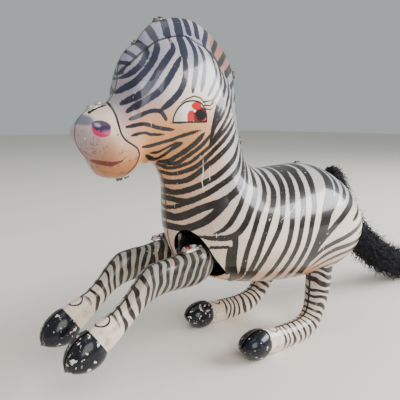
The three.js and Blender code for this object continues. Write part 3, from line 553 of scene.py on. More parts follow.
class Shader:
    """A node material built by small steps; sockets and plain numbers can be mixed."""

    def __init__(self, name):
        self.material = bpy.data.materials.new(name)
        self.material.use_nodes = True
        self.tree = self.material.node_tree
        self.surface = self.tree.nodes["Principled BSDF"]
        self.object_mm = self.scaled(self.new("ShaderNodeTexCoord").outputs["Object"], 1 / MM)

    def new(self, kind, **settings):
        node = self.tree.nodes.new(kind)
        for key, value in settings.items():
            setattr(node, key, value)
        return node

    def put(self, socket, value):
        if isinstance(value, bpy.types.NodeSocket):
            self.tree.links.new(value, socket)
        elif hasattr(socket, "default_value"):
            if socket.type == "RGBA" and len(value) == 3:
                value = (*value, 1)
            socket.default_value = value

    def scaled(self, vector, factor):
        node = self.new("ShaderNodeVectorMath", operation="SCALE")
        self.put(node.inputs[0], vector)
        node.inputs["Scale"].default_value = factor
        return node.outputs[0]

    def vector(self, operation, a, b):
        node = self.new("ShaderNodeVectorMath", operation=operation)
        self.put(node.inputs[0], a)
        self.put(node.inputs[1], b)
        return node.outputs["Value"] if operation in ("LENGTH", "DISTANCE") else node.outputs[0]

    def math(self, operation, a, b=0.0, clamp=False):
        node = self.new("ShaderNodeMath", operation=operation, use_clamp=clamp)
        self.put(node.inputs[0], a)
        self.put(node.inputs[1], b)
        return node.outputs[0]

    def step(self, value, low, high, smooth=True):
        """0 to 1 as the value goes from low to high."""
        node = self.new("ShaderNodeMapRange")
        node.interpolation_type = "SMOOTHSTEP" if smooth else "LINEAR"
        self.put(node.inputs["Value"], value)
        up = low < high
        node.inputs["From Min"].default_value = low if up else high
        node.inputs["From Max"].default_value = high if up else low
        node.inputs["To Min"].default_value = 0 if up else 1
        node.inputs["To Max"].default_value = 1 if up else 0
        return node.outputs["Result"]

    def noise(self, scale, detail=2.0, distortion=0.0, coordinate=None, roughness=0.5):
        node = self.new("ShaderNodeTexNoise")
        self.put(node.inputs["Vector"], self.object_mm if coordinate is None else coordinate)
        node.inputs["Scale"].default_value = scale
        node.inputs["Detail"].default_value = detail
        node.inputs["Roughness"].default_value = roughness
        node.inputs["Distortion"].default_value = distortion
        return node.outputs["Fac"]

    def mix(self, factor, a, b):
        node = self.new("ShaderNodeMix", data_type="RGBA")
        self.put(node.inputs[0], factor)
        self.put(node.inputs[6], a)
        self.put(node.inputs[7], b)
        return node.outputs[2]

    def attribute(self, name):
        return self.new("ShaderNodeAttribute", attribute_name=name).outputs["Fac"]

    def blob(self, centre, radii, soft=0.5):
        """1 inside an ellipsoid of the side view and soft at its edge; it ignores the side."""
        shifted = self.vector("SUBTRACT", self.object_mm, tuple(Vector((0, *centre)) + ORIGIN / MM))
        shaped = self.vector("MULTIPLY", shifted, (0, 1 / radii[0], 1 / radii[1]))
        return self.step(self.vector("LENGTH", shaped, (0, 0, 0)), 1 + soft, 1 - soft)

    def stroke(self, points, widths):
        """1 on a fine painted line of the side view through the points, with a width at each."""
        flat = self.vector("MULTIPLY", self.object_mm, (0, 1, 1))
        lines = [Vector((0, y + ORIGIN.y / MM, z + ORIGIN.z / MM)) for y, z in points]
        nearest = None
        for k, (start, end) in enumerate(zip(lines[:-1], lines[1:])):
            run = end - start
            offset = self.vector("SUBTRACT", flat, tuple(start))
            dot = self.new("ShaderNodeVectorMath", operation="DOT_PRODUCT")
            self.put(dot.inputs[0], offset)
            self.put(dot.inputs[1], tuple(run / run.length_squared))
            t = self.math("ADD", dot.outputs["Value"], 0.0, clamp=True)
            along = self.new("ShaderNodeVectorMath", operation="SCALE")
            self.put(along.inputs[0], tuple(run))
            self.put(along.inputs["Scale"], t)
            gap = self.vector("DISTANCE", offset, along.outputs[0])
            half = self.math("MULTIPLY", t, (widths[k + 1] - widths[k]) / 2)
            half = self.math("ADD", half, widths[k] / 2)
            edge = self.math("SUBTRACT", gap, half)
            nearest = edge if nearest is None else self.math("MINIMUM", nearest, edge)
        return self.step(nearest, 0.1, -0.1)

    def bump(self, height, strength, distance):
        node = self.new("ShaderNodeBump")
        node.inputs["Strength"].default_value = strength
        node.inputs["Distance"].default_value = distance * MM
        self.put(node.inputs["Height"], height)
        return node.outputs[0]

    def finish(self, **inputs):
        for key, value in inputs.items():
            self.put(self.surface.inputs[key.replace("_", " ").title().replace("Ior", "IOR")], value)
        return self.material


CREAM = (0.80, 0.67, 0.545)
INK = (0.014, 0.011, 0.010)
TAN = (0.56, 0.23, 0.075)
BLUE_GREY = (0.13, 0.16, 0.29)
RUST = (0.34, 0.08, 0.025)
BARE_TIN = (0.55, 0.54, 0.52)
EYE_RED = (0.52, 0.014, 0.018)
DARK_RED = (0.13, 0.012, 0.014)
MAGENTA = (0.52, 0.02, 0.12)
PURPLE = (0.055, 0.025, 0.075)
HOOF_BLACK = (0.007, 0.008, 0.013)


# Fine lines round the eye, and scratches through the print: points (y, z) and a width at each.
EYE_LINES = [
    ([(-34.9, 98.9), (-31, 98.9), (-27.5, 99.3), (-20.2, 99.2)], (0.3, 0.5, 0.45, 0.3)),
    ([(-31.4, 105.9), (-28.8, 107.4), (-25.6, 108.4), (-22.8, 107.7), (-20.6, 105.6)],
     (0.3, 0.5, 0.55, 0.5, 0.3)),
    ([(-21.8, 106.4), (-18.3, 106.9), (-14.4, 109.3)], (0.6, 0.5, 0.15)),
    ([(-21.2, 105.2), (-18.4, 105.2), (-15.6, 106.6)], (0.6, 0.5, 0.15)),
    ([(-20.7, 104), (-18.6, 103.7), (-16.8, 104.4)], (0.6, 0.45, 0.15)),
]
SCRATCHES = [
    ([(22.5, 67.8), (19.3, 65.4), (15.8, 63.2), (12.3, 61.7), (9.2, 60.5)], (0.1, 0.32, 0.35, 0.3, 0.1)),
    ([(24, 64.6), (20, 60.2), (17.8, 57.4)], (0.1, 0.22, 0.1)),
    ([(-21, 86), (-20.8, 81), (-21.3, 77.5), (-20.7, 73)], (0.1, 0.3, 0.3, 0.1)),
    ([(-18.6, 83), (-18.8, 79), (-18.2, 75)], (0.1, 0.22, 0.1)),
    ([(-18.4, 62.2), (-17.8, 58), (-17.5, 54.6)], (0.1, 0.32, 0.15)),
    ([(36, 52), (35, 47.4), (34.6, 43.5)], (0.1, 0.2, 0.1)),
    ([(-12.6, 128), (-12, 123), (-12.4, 119)], (0.1, 0.25, 0.1)),
]


def worn(shader, colour, amount=1.0):
    """Age over a printed colour: grime, fine specks, pinholes and hairline scratches."""
    grime = shader.step(shader.noise(0.05, 5, 0.6), 0.5, 0.78)
    channels = shader.new("ShaderNodeSeparateColor")
    shader.put(channels.inputs[0], colour)
    light_only = shader.math("MULTIPLY", grime, shader.step(channels.outputs[0], 0.06, 0.3))
    colour = shader.mix(shader.math("MULTIPLY", light_only, 0.4 * amount), colour, (0.30, 0.22, 0.15))
    specks = shader.step(shader.noise(1.3, 2), 0.735, 0.76)
    region = shader.step(shader.noise(0.07, 2), 0.5, 0.62)
    specks = shader.math("MULTIPLY", specks, region)
    colour = shader.mix(shader.math("MULTIPLY", specks, 0.8 * amount), colour, (0.10, 0.05, 0.03))
    chips = shader.math("MULTIPLY", shader.step(shader.noise(0.95, 2), 0.72, 0.735), region)
    colour = shader.mix(shader.math("MULTIPLY", chips, amount), colour, (0.82, 0.78, 0.72))
    stretched = shader.vector("MULTIPLY", shader.object_mm, (0.9, 0.9, 0.09))
    hairline = shader.step(shader.noise(1.9, 1, 0.2, stretched), 0.745, 0.765)
    patch = shader.step(shader.noise(0.045, 1), 0.52, 0.6)
    hairline = shader.math("MULTIPLY", hairline, patch)
    return shader.mix(shader.math("MULTIPLY", hairline, 0.75 * amount), colour, (0.78, 0.74, 0.68))


def litho_finish(shader, colour, roughness=0.3, dents=0.5):
    """Glossy varnish over print, with the shallow unevenness of pressed tin."""
    waves = shader.noise(0.06, 3)
    fine = shader.noise(0.9, 2)
    height = shader.math("ADD", shader.math("MULTIPLY", waves, 1.0), shader.math("MULTIPLY", fine, 0.05))
    varied = shader.step(shader.noise(0.12, 4), 0.2, 0.9, smooth=False)
    rough = shader.math("ADD", shader.math("MULTIPLY", varied, 0.16), roughness - 0.06)
    normal = shader.bump(height, dents, 0.6)
    return shader.finish(
        base_color=colour,
        roughness=rough,
        metallic=0.0,
        specular_ior_level=0.15,
        coat_weight=0.42,
        coat_roughness=0.09,
        normal=normal,
    )


def painted_eye(shader, colour):
    """The eye: white, dark iris with red blocks, outline, lid line and lashes."""
    eye = shader.attribute("eye")
    inside = shader.step(eye, -0.05, 0.15)
    white = shader.mix(shader.blob((-33, 101), (3, 4), 0.7), (0.80, 0.74, 0.68), (0.55, 0.47, 0.44))
    colour = shader.mix(inside, colour, white)
    parts = [
        (DARK_RED, (-23.6, 101.9), (3.3, 3.0), 0.06),
        (EYE_RED, (-27.2, 101.1), (1.5, 2.3), 0.08),
        (EYE_RED, (-24.8, 105.0), (2.2, 1.35), 0.08),
        (EYE_RED, (-21.6, 100.1), (1.0, 0.8), 0.1),
        (INK, (-22.9, 101.7), (2.2, 2.0), 0.08),
        ((0.85, 0.80, 0.78), (-25.6, 103.2), (0.6, 0.45), 0.2),
    ]
    for tint, centre, radii, soft in parts:
        mask = shader.math("MULTIPLY", inside, shader.blob(centre, radii, soft))
        colour = shader.mix(mask, colour, tint)
    outline = shader.step(shader.math("ABSOLUTE", eye), 0.42, 0.22)
    for line, widths in EYE_LINES:
        outline = shader.math("MAXIMUM", outline, shader.stroke(line, widths))
    return shader.mix(outline, colour, INK)


def painted_muzzle(shader, colour):
    """The pale muzzle with its nostril, mouth and speckled, tanned underside."""
    muzzle = shader.attribute("muzzle")
    skin = shader.mix(shader.step(shader.height, 102, 85), (0.74, 0.55, 0.43), (0.46, 0.19, 0.085))
    skin = shader.mix(shader.math("MULTIPLY", shader.blob((-65, 92), (5, 9), 0.7), 0.5), skin, BLUE_GREY)
    blotches = shader.step(shader.noise(0.42, 4, 0.6), 0.55, 0.66)
    blotches = shader.math("MULTIPLY", blotches, shader.step(shader.height, 97, 90))
    skin = shader.mix(shader.math("MULTIPLY", blotches, 0.6), skin, (0.20, 0.09, 0.05))
    freckles = shader.step(shader.noise(0.75, 2), 0.66, 0.70)
    freckles = shader.math("MULTIPLY", freckles, shader.step(shader.height, 99, 94))
    skin = shader.mix(shader.math("MULTIPLY", freckles, 0.85), skin, (0.08, 0.035, 0.025))
    colour = shader.mix(shader.step(muzzle, -0.1, 0.15), colour, skin)
    marks = [
        ((0.16, 0.17, 0.22), (-63.2, 100.2), (2.6, 1.9), 0.25),
        (MAGENTA, (-60.0, 96.8), (2.5, 2.3), 0.08),
        (PURPLE, (-59.6, 98.0), (2.5, 1.9), 0.1),
    ]
    for tint, centre, radii, soft in marks:
        colour = shader.mix(shader.blob(centre, radii, soft), colour, tint)
    # Painted highlight: a small pale glint on the nostril.
    nostril_painted_highlight = shader.blob((-60.6, 98.4), (0.7, 0.6), 0.6)
    colour = shader.mix(shader.math("MULTIPLY", nostril_painted_highlight, 0.6), colour, (0.55, 0.50, 0.60))
    lip = shader.stroke([(-60, 86.6), (-58.6, 85.9), (-56.6, 85.6), (-53.4, 86.6)], (0.7, 1.5, 1.7, 0.6))
    colour = shader.mix(shader.math("MULTIPLY", lip, 0.92), colour, DARK_RED)
    corner = shader.stroke([(-53.6, 86.7), (-51.8, 88.2)], (0.5, 0.3))
    colour = shader.mix(shader.math("MULTIPLY", corner, 0.6), colour, DARK_RED)
    edge = shader.step(shader.math("ABSOLUTE", muzzle), 0.44, 0.26)
    return shader.mix(edge, colour, INK)


def body_print():
    shader = Shader("body_litho")
    axes = shader.new("ShaderNodeSeparateXYZ")
    shader.put(axes.inputs[0], shader.object_mm)
    shader.height = axes.outputs["Z"]
    from_seam = shader.math("ABSOLUTE", shader.math("SUBTRACT", axes.outputs["X"], ORIGIN.x / MM))
    colour = CREAM
    airbrush = [
        (BLUE_GREY, 0.75, (-46, 112), (13, 16), 0.7),
        (BLUE_GREY, 0.65, (-32, 128), (20, 11), 0.6),
        (BLUE_GREY, 0.35, (-20, 118), (16, 10), 0.6),
        (BLUE_GREY, 0.35, (-52, 98), (5, 9), 0.6),
        (CREAM, 0.60, (-31, 108), (6, 11), 0.7),
        (TAN, 0.95, (-38, 96), (14, 9), 0.8),
        (TAN, 0.95, (-35, 87), (15, 9), 0.6),
        (TAN, 0.70, (-31, 77), (8, 16), 0.7),
        (TAN, 0.75, (-23, 93), (11, 10), 0.8),
        (TAN, 0.40, (-22, 74), (13, 22), 0.8),
        (BLUE_GREY, 0.25, (-16, 66), (10, 16), 0.8),
        (BLUE_GREY, 0.50, (66, 72), (22, 12), 0.7),
        (BLUE_GREY, 0.25, (30, 76), (34, 7), 0.7),
    ]
    for tint, strength, centre, radii, soft in airbrush:
        mask = shader.math("MULTIPLY", shader.blob(centre, radii, soft), strength)
        colour = shader.mix(mask, colour, tint)
    belly = shader.math("MULTIPLY", shader.step(shader.height, 52, 27), 0.95)
    belly = shader.math("MULTIPLY", belly, shader.step(shader.noise(0.03, 2), 0.2, 0.6))
    colour = shader.mix(belly, colour, TAN)
    # Greyer towards the top of the body, behind the head.
    greyer_top = shader.math("MULTIPLY", shader.step(shader.height, 56, 82), 0.7)
    behind_cheek = shader.step(axes.outputs["Y"], ORIGIN.y / MM - 20, ORIGIN.y / MM - 4)
    colour = shader.mix(shader.math("MULTIPLY", greyer_top, behind_cheek), colour, (0.36, 0.37, 0.38))
    ragged = shader.math("MULTIPLY", shader.math("SUBTRACT", shader.noise(0.8, 3), 0.5), 0.5)
    stripe = shader.math("ADD", shader.attribute("stripe"), ragged)
    stripe = shader.step(stripe, 0.16, -0.16)
    faded = shader.step(shader.noise(0.35, 3), 0.35, 0.8)
    ink_and_reflection = shader.mix(shader.math("MULTIPLY", faded, 0.3), INK, (0.06, 0.042, 0.034))
    mane = shader.step(shader.attribute("mane"), 0.0, 0.25)
    colour = shader.mix(shader.math("MULTIPLY", mane, 0.45), colour, BLUE_GREY)
    old_mane = shader.math("MULTIPLY", mane, shader.blob((-5, 126), (8, 8), 0.4))
    colour = shader.mix(shader.math("MULTIPLY", old_mane, 0.8), colour, RUST)
    # Painted reflection: the stripe ink over the brow and crown is tinted blue, as the varnish reflects
    # there.
    brow = shader.blob((-42, 116), (14, 16), 0.6)
    crown = shader.blob((-28, 130), (18, 9), 0.6)
    painted_reflection = shader.math("MAXIMUM", brow, crown)
    ink_and_reflection = shader.mix(shader.math("MULTIPLY", painted_reflection, 0.75), ink_and_reflection, (0.028, 0.032, 0.062))
    colour = shader.mix(stripe, colour, ink_and_reflection)
    edge = shader.step(shader.math("ABSOLUTE", shader.attribute("mane")), 0.40, 0.22)
    colour = shader.mix(shader.math("MULTIPLY", edge, 0.9), colour, INK)
    colour = painted_eye(shader, painted_muzzle(shader, colour))
    colour = worn(shader, colour)
    for line, widths in SCRATCHES:
        scratch = shader.stroke(line, widths)
        broken = shader.math("MULTIPLY", scratch, shader.step(shader.noise(0.7, 2), 0.36, 0.5))
        colour = shader.mix(shader.math("MULTIPLY", broken, 0.85), colour, (0.80, 0.76, 0.70))
    seam = shader.math("ADD", from_seam, shader.math("MULTIPLY", shader.noise(0.5, 3), 0.7))
    seam = shader.math("MULTIPLY", shader.step(seam, 0.95, 0.55), 0.85)
    colour = shader.mix(seam, colour, (0.05, 0.035, 0.03))
    return litho_finish(shader, colour)


def leg_print():
    shader = Shader("leg_litho")
    along = shader.attribute("along")
    around = shader.attribute("around")
    hoof = shader.step(shader.attribute("hoof"), 0.45, 0.55)
    wobble = shader.math("MULTIPLY", shader.math("SUBTRACT", shader.noise(0.10, 1), 0.5), 6.0)
    tilt = shader.math("MULTIPLY", around, 1.8)
    place = shader.math("ADD", shader.math("ADD", along, wobble), tilt)
    ring = shader.math("PINGPONG", shader.math("MULTIPLY", place, 1 / 1.75), 1.0)
    seamward = shader.step(shader.math("ABSOLUTE", around), 0.0, 0.9)
    width = shader.math("ADD", shader.math("MULTIPLY", seamward, -0.12), 0.35)
    width = shader.math("ADD", width, shader.math("MULTIPLY", shader.step(along, 42, 8), 0.2))
    width = shader.math("ADD", width, shader.math("MULTIPLY", shader.noise(0.3, 2), 0.2))
    stripe = shader.step(shader.math("SUBTRACT", ring, width), 0.09, -0.03)
    pastern = shader.step(shader.attribute("to_hoof"), 7.5, 9.5)
    stripe = shader.math("MULTIPLY", stripe, pastern)
    # Greyer towards the top of each leg; painted shade darkens the upper front legs.
    colour = shader.mix(shader.step(along, 50, 10), CREAM, (0.44, 0.42, 0.38))
    shaded = shader.math("MULTIPLY", shader.blob((-30, 48), (26, 16), 0.5), 0.75)
    colour = shader.mix(shaded, colour, (0.21, 0.22, 0.18))
    rust = shader.math("MULTIPLY", shader.step(shader.noise(0.4, 4), 0.50, 0.72), 0.6)
    colour = shader.mix(rust, colour, (0.42, 0.20, 0.09))
    worn_ink = shader.mix(shader.step(shader.noise(0.3, 3), 0.35, 0.7), INK, (0.06, 0.042, 0.034))
    colour = shader.mix(stripe, colour, worn_ink)
    from_seam = shader.attribute("from_seam")
    along_loop = shader.math("SUBTRACT", shader.attribute("to_hoof"), 5.4)
    squares = [shader.math("MULTIPLY", value, value) for value in (along_loop, from_seam)]
    radius = shader.math("SQRT", shader.math("ADD", *squares))
    loop = shader.step(shader.math("ABSOLUTE", shader.math("SUBTRACT", radius, 2.5)), 0.38, 0.2)
    colour = shader.mix(shader.math("MULTIPLY", loop, shader.step(around, 0, 0.05)), colour, INK)
    seam = shader.math("ADD", from_seam, shader.math("MULTIPLY", shader.noise(0.5, 3), 0.6))
    above_hoof = shader.step(shader.attribute("to_hoof"), 7, 8)
    seam = shader.math("MULTIPLY", shader.step(seam, 1.0, 0.6), above_hoof)
    colour = shader.mix(seam, colour, (0.03, 0.025, 0.025))
    clusters = shader.math("MULTIPLY", shader.step(shader.noise(0.12, 1), 0.4, 0.62), 0.08)
    chips = shader.math("ADD", shader.noise(0.6, 4, 0.5), clusters)
    chips = shader.step(chips, 0.665, 0.685)
    black = shader.mix(chips, HOOF_BLACK, (0.72, 0.66, 0.58))
    colour = shader.mix(hoof, worn(shader, colour), black)
    return litho_finish(shader, colour, roughness=0.28)


def bare_tin(name="bare_tin", base=BARE_TIN, roughness=0.38):
    """Plain tin plate: brushed streaks, spots of dull oxide."""
    shader = Shader(name)
    streaks = shader.noise(1.2, 3, 0.0, shader.vector("MULTIPLY", shader.object_mm, (1, 0.12, 1)))
    oxide = shader.step(shader.noise(0.35, 4, 0.5), 0.5, 0.75)
    colour = shader.mix(shader.math("MULTIPLY", oxide, 0.6), base, (0.16, 0.11, 0.08))
    rough = shader.math("ADD", shader.math("MULTIPLY", streaks, 0.25), roughness - 0.1)
    return shader.finish(
        base_color=colour, roughness=rough, metallic=0.9, normal=shader.bump(streaks, 0.25, 0.05)
    )


def red_flecked_tin():
    """Bright tin with the remains of red print, on the tabs at the top of the front legs."""
    shader = Shader("leg_tab_tin")
    red = shader.step(shader.noise(0.45, 2, 0.3), 0.52, 0.56)
    dark = shader.step(shader.noise(0.8, 3), 0.58, 0.66)
    colour = shader.mix(red, (0.72, 0.70, 0.68), (0.42, 0.03, 0.04))
    colour = shader.mix(dark, colour, (0.05, 0.04, 0.04))
    rough = shader.math("ADD", shader.math("MULTIPLY", dark, 0.3), 0.22)
    return shader.finish(base_color=colour, roughness=rough, metallic=0.6)


def turned_metal(name, base, dull):
    """Machined wheel, arbor or lever: fine turning marks and old oil."""
    shader = Shader(name)
    marks = shader.noise(3.5, 2, 0.0, shader.vector("MULTIPLY", shader.object_mm, (2.5, 0.6, 0.6)))
    oil = shader.step(shader.noise(0.3, 4, 0.8), 0.42, 0.7)
    colour = shader.mix(shader.math("MULTIPLY", oil, 0.7), base, dull)
    rough = shader.math("ADD", shader.math("MULTIPLY", marks, 0.2), 0.22)
    normal = shader.bump(marks, 0.3, 0.04)
    return shader.finish(base_color=colour, roughness=rough, metallic=1.0, normal=normal)


LITHO = body_print()
LEG_LITHO = leg_print()
TIN = bare_tin()
DARK_TIN = bare_tin("inside_tin", (0.20, 0.19, 0.18), 0.5)
TAB_TIN = bare_tin("tab_tin", (0.22, 0.20, 0.18), 0.3)
NOSE_TIN = bare_tin("nose_tin", (0.74, 0.70, 0.64), 0.4)
SHADOW_TIN = bare_tin("shadow_tin", (0.03, 0.028, 0.026), 0.5)
LEG_TAB = red_flecked_tin()
KEY_TIN = bare_tin("key_tin", (0.42, 0.40, 0.37), 0.3)
STEEL = turned_metal("steel", (0.42, 0.42, 0.44), (0.10, 0.08, 0.06))
BRASS = turned_metal("brass", (0.72, 0.50, 0.20), (0.26, 0.15, 0.06))
BLUED = turned_metal("blued_spring", (0.10, 0.13, 0.22), (0.05, 0.05, 0.06))


# ------------------------------------------------------------------ body halves

HEAD_END = 26  # row where the neck meets the barrel
HEAD_SPACING = 0.62
BARREL_SPACING = 1.0
BODY_ARC = 100


def body_spacing(place):
    return HEAD_SPACING if place < HEAD_END else BARREL_SPACING


def ellipse_outline(centre_x, centre_z, radius_x, radius_z, count=72):
    angles = [2 * math.pi * k / count for k in range(count)]
    return [(centre_x + radius_x * math.cos(a), centre_z + radius_z * math.sin(a)) for a in angles]


def rounded_slot(name, side):
    """The hip slot: a round-cornered upright prism."""
    (x0, x1), (y0, y1), (z0, z1) = HIP_SLOT["x"], HIP_SLOT["y"], HIP_SLOT["z"]
    corner = HIP_SLOT["corner"]
    outline = []
    for cx, cy, start in (
        (x1 - corner, y1 - corner, 0),
        (x0 + corner, y1 - corner, 90),
        (x0 + corner, y0 + corner, 180),
        (x1 - corner, y0 + corner, 270),
    ):
        for k in range(7):
            a = math.radians(start + 15 * k)
            outline.append((side * (cx + corner * math.cos(a)), cy + corner * math.sin(a)))
    mesh = bpy.data.meshes.new(name)
    count = len(outline)
    points = [Vector((x, y, z)) * MM + ORIGIN for z in (z0, z1) for x, y in outline]
    faces = [[k, (k + 1) % count, count + (k + 1) % count, count + k] for k in range(count)]
    faces += [list(range(count))[::-1], list(range(count, 2 * count))]
    mesh.from_pydata(points, [], faces)
    work = bmesh.new()
    work.from_mesh(mesh)
    bmesh.ops.recalc_face_normals(work, faces=work.faces)
    work.to_mesh(mesh)
    work.free()
    made = bpy.data.objects.new(name, mesh)
    bpy.context.scene.collection.objects.link(made)
    return made


body_places = even_places(BODY_ROWS, body_spacing)
body_angles = np.linspace(-math.pi / 2, math.pi / 2, BODY_ARC + 1)


def body_half(name, side):
    grid = sweep(body_sections(body_places), side, body_angles)
    made = grid_object(f"{name}_body_skin", grid, side > 0, {})
    weld(made)
    made.data.materials.append(LITHO)
    made.data.materials.append(DARK_TIN)
    thicken(made, WALL)
    opening = SHOULDER_OPENING
    outline = ellipse_outline(
        side * opening["x"], opening["z"], opening["radius_x"], opening["radius_z"]
    )
    tools = [
        prism("shoulder_punch", outline, -60, opening["rear_y"], "y"),
        rounded_slot("hip_punch", side),
    ]
    if side < 0:
        hole = ellipse_outline(WINDING["y"], WINDING["z"], WINDING["radius"], WINDING["radius"], 32)
        tools.append(prism("key_punch", hole, -60, -10, "x"))
    punch(made, *tools)
    paint(made, "stripe", stripe_field)
    paint(made, "mane", mane_field)
    paint(made, "muzzle", muzzle_field)
    paint(made, "eye", eye_field)
    smooth_by_angle(made)
    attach(made, "body")
    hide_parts(f"{name}_body_shell")
    return made


for side_name, side_sign in SIDES:
    body_half(side_name, side_sign)


# ------------------------------------------------------------------ legs

LEG_SPACING = 0.7
LEG_ARC = 30
TOE_GAP = 1.6


def leg_half(name, rows, hoof, flip, side, body, node):
    sections, is_hoof = leg_sections(rows, hoof, LEG_SPACING)
    sections = sections.copy()
    sections[:, 8] *= flip
    angles = np.linspace(-math.pi / 2, math.pi / 2, LEG_ARC + 1)
    grid = sweep(sections, side, angles, SEAM_GAP + (TOE_GAP - SEAM_GAP) * is_hoof)
    middle = (sections[:, 0:2] + sections[:, 2:4]) / 2
    travelled = np.concatenate([[0], np.cumsum(np.hypot(*np.diff(middle, axis=0).T))])
    to_hoof = travelled[np.argmax(is_hoof > 0)] - travelled
    wide = np.ones((1, len(angles)))
    attributes = {
        "along": travelled[:, None] * wide,
        "to_hoof": np.clip(to_hoof, 0, 90)[:, None] * wide,
        "around": np.sin(angles)[None] * np.ones((len(travelled), 1)),
        "hoof": is_hoof[:, None] * wide,
        "from_seam": np.abs(grid[..., 0] - sections[:, 8:9]),
    }
    made = grid_object(name, grid, side < 0, attributes)
    weld(made)
    made.data.materials.append(LEG_LITHO)
    made.data.materials.append(DARK_TIN)
    thicken(made, WALL)
    smooth_by_angle(made, 50)
    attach(made, body)
    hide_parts(node)
    return made


for pair, pair_rows, pair_hoof in (
    ("front", FRONT_LEG_ROWS, FRONT_HOOF),
    ("rear", REAR_LEG_ROWS, REAR_HOOF),
):
    for flank, flip in SIDES:
        for half, half_side in (("outer", flip), ("inner", -flip)):
            leg_name = f"{pair}_{flank}_leg_{half}"
            leg_half(leg_name + "_skin", pair_rows, pair_hoof, flip, half_side, f"{pair}_legs", leg_name)


# ------------------------------------------------------------------ folded tabs on the seams


def place_piece(name, work, matrix, materials, body):
    """Turns a millimetre bmesh into a placed piece that rides on a body."""
    to_frame = Matrix.Translation(ORIGIN) @ Matrix.Scale(MM, 4)
    bmesh.ops.transform(work, matrix=to_frame @ matrix, verts=work.verts)
    mesh = bpy.data.meshes.new(name)
    work.to_mesh(mesh)
    work.free()
    for material in materials:
        mesh.materials.append(material)
    made = bpy.data.objects.new(name, mesh)
    bpy.context.scene.collection.objects.link(made)
    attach(made, body)
    return made


def folded_tab(name, centre, along, outward, size, material, body, ears=2):
    """A tin tab bent over the seam: a lipped plate with small ears, hugging the edge."""
    length, width, thick = size
    along, outward = Vector(along).normalized(), Vector(outward).normalized()
    outward = (outward - along * outward.dot(along)).normalized()
    across = along.cross(outward)
    turn = Matrix((along, across, outward)).transposed().to_4x4()
    work = bmesh.new()
    plates = [(0, 0, 0, length, width, thick)]
    for k in range(ears):
        shift = (k - (ears - 1) / 2) * length / max(ears, 1)
        plates.append((shift, width * 0.08, thick * 0.75, length / ears * 0.62, width * 0.7, thick * 0.8))
    for x, y, z, l, w, t in plates:
        made = bmesh.ops.create_cube(work, size=1)["verts"]
        bmesh.ops.scale(work, vec=(l, w, t), verts=made)
        for vert in made:
            if vert.co.z > 0:
                vert.co.x *= 0.9
                vert.co.y *= 0.85
        bmesh.ops.translate(work, vec=(x, y, z), verts=made)
    bmesh.ops.bevel(work, geom=work.edges[:], offset=thick * 0.22, segments=2, affect="EDGES")
    for vert in work.verts:
        vert.co.z -= 0.045 * (2 * vert.co.y) ** 2
    for face in work.faces:
        face.smooth = True
    return place_piece(name, work, Matrix.Translation(Vector(centre)) @ turn, [material], body)


def seam_place(target):
    """The nearest seam point of the body to a side-view point, its direction and outward side."""
    sections = body_sections(np.linspace(0, len(BODY_ROWS) - 1, 1600))
    best = None
    for low in (0, 2):
        line = sections[:, low : low + 2]
        other = sections[:, 2 - low : 4 - low]
        gap = np.hypot(*(line - np.array(target)).T)
        k = int(np.clip(gap.argmin(), 2, len(line) - 3))
        if best is None or gap[k] < best[0]:
            run = line[k + 2] - line[k - 2]
            best = (gap[k], line[k], run, line[k] - other[k])
    _, spot, run, outward = best
    return Vector((0, *spot)), Vector((0, *run)), Vector((0, *outward))


# Tabs of the body seam: place (y, z), length, width, thickness, lift above the seam.
SEAM_TABS = [
    ("nose_tab", (-57.6, 104.6), 6.6, 4.2, 0.7, 0.25),
    ("poll_tab", (-31.5, 136), 4.2, 2.6, 0.7, 0.1),
    ("forelock_tab", (-41.5, 126.5), 2.4, 1.5, 0.5, 0.05),
    ("mane_tab", (4.4, 118), 3.2, 2.0, 0.7, 0.15),
    ("nape_tab", (9.2, 91), 3.6, 2.2, 0.8, 0.2),
    ("withers_tab", (10.6, 85.8), 2.6, 1.8, 0.7, 0.2),
    ("rump_tab", (48.5, 80), 3.4, 2.2, 0.7, 0.1),
    ("belly_tab", (5.6, 27.2), 3.2, 2.2, 0.7, 0.1),
    ("chin_tab", (-49, 79.6), 2.4, 1.8, 0.7, 0.1),
    ("throat_tab", (-46, 80), 2.0, 1.6, 0.6, 0.1),
]
for tab_name, target, length, width, thick, lift in SEAM_TABS:
    spot, run, outward = seam_place(target)
    spot += outward.normalized() * (lift + thick * 0.35)
    tin = NOSE_TIN if tab_name == "nose_tab" else TAB_TIN
    folded_tab(tab_name, spot, run, outward, (length, width, thick), tin, "body")
# A black plate under the nose tab: painted shadow of the recess round it.
spot, run, outward = seam_place((-57.6, 104.6))
folded_tab("nose_recess", spot, run, outward, (7.8, 5.2, 0.5), SHADOW_TIN, "body", ears=1)
for flank, flip in SIDES:
    folded_tab(
        f"front_{flank}_leg_tab", (flip * 11, -25.4, 51.7), (0, -1, -0.12), (0, -0.1, 1), (6.4, 4.2, 0.9),
        LEG_TAB, "front_legs", ears=2,
    )
    button = bmesh.new()
    bmesh.ops.create_uvsphere(button, u_segments=20, v_segments=12, radius=1.0)
    for face in button.faces:
        face.smooth = True
    squat = Matrix.Translation((flip * 12.2, -21.6, 52.2)) @ Matrix.Diagonal((1, 1, 0.6, 1))
    place_piece(f"front_{flank}_leg_button", button, squat, [TAB_TIN], "front_legs")


# ------------------------------------------------------------------ mohair tail

TAIL_ROWS = [
    (74.2, 71.3, 0, 2), (77.3, 72.6, -0.2, 2.6), (81.3, 70, -0.9, 3.8), (85.2, 64, -2, 5.2),
     (88.6, 56, -3, 6.4),
    (92.4, 47.6, -3, 7), (98, 40.4, -1.8, 7.3), (105, 33.4, 0, 7.4), (113, 26, 1.8, 7.5),
     (122, 19.6, 3.4, 7.5),
    (132, 14.4, 4.8, 7.4), (144, 10.4, 6, 7.2), (155, 8.6, 6.9, 6.5), (162, 8, 7.4, 4.6),
     (167, 8, 7.8, 1.6),
]
FUR_STRANDS = 7600
FUR_SEED = 41


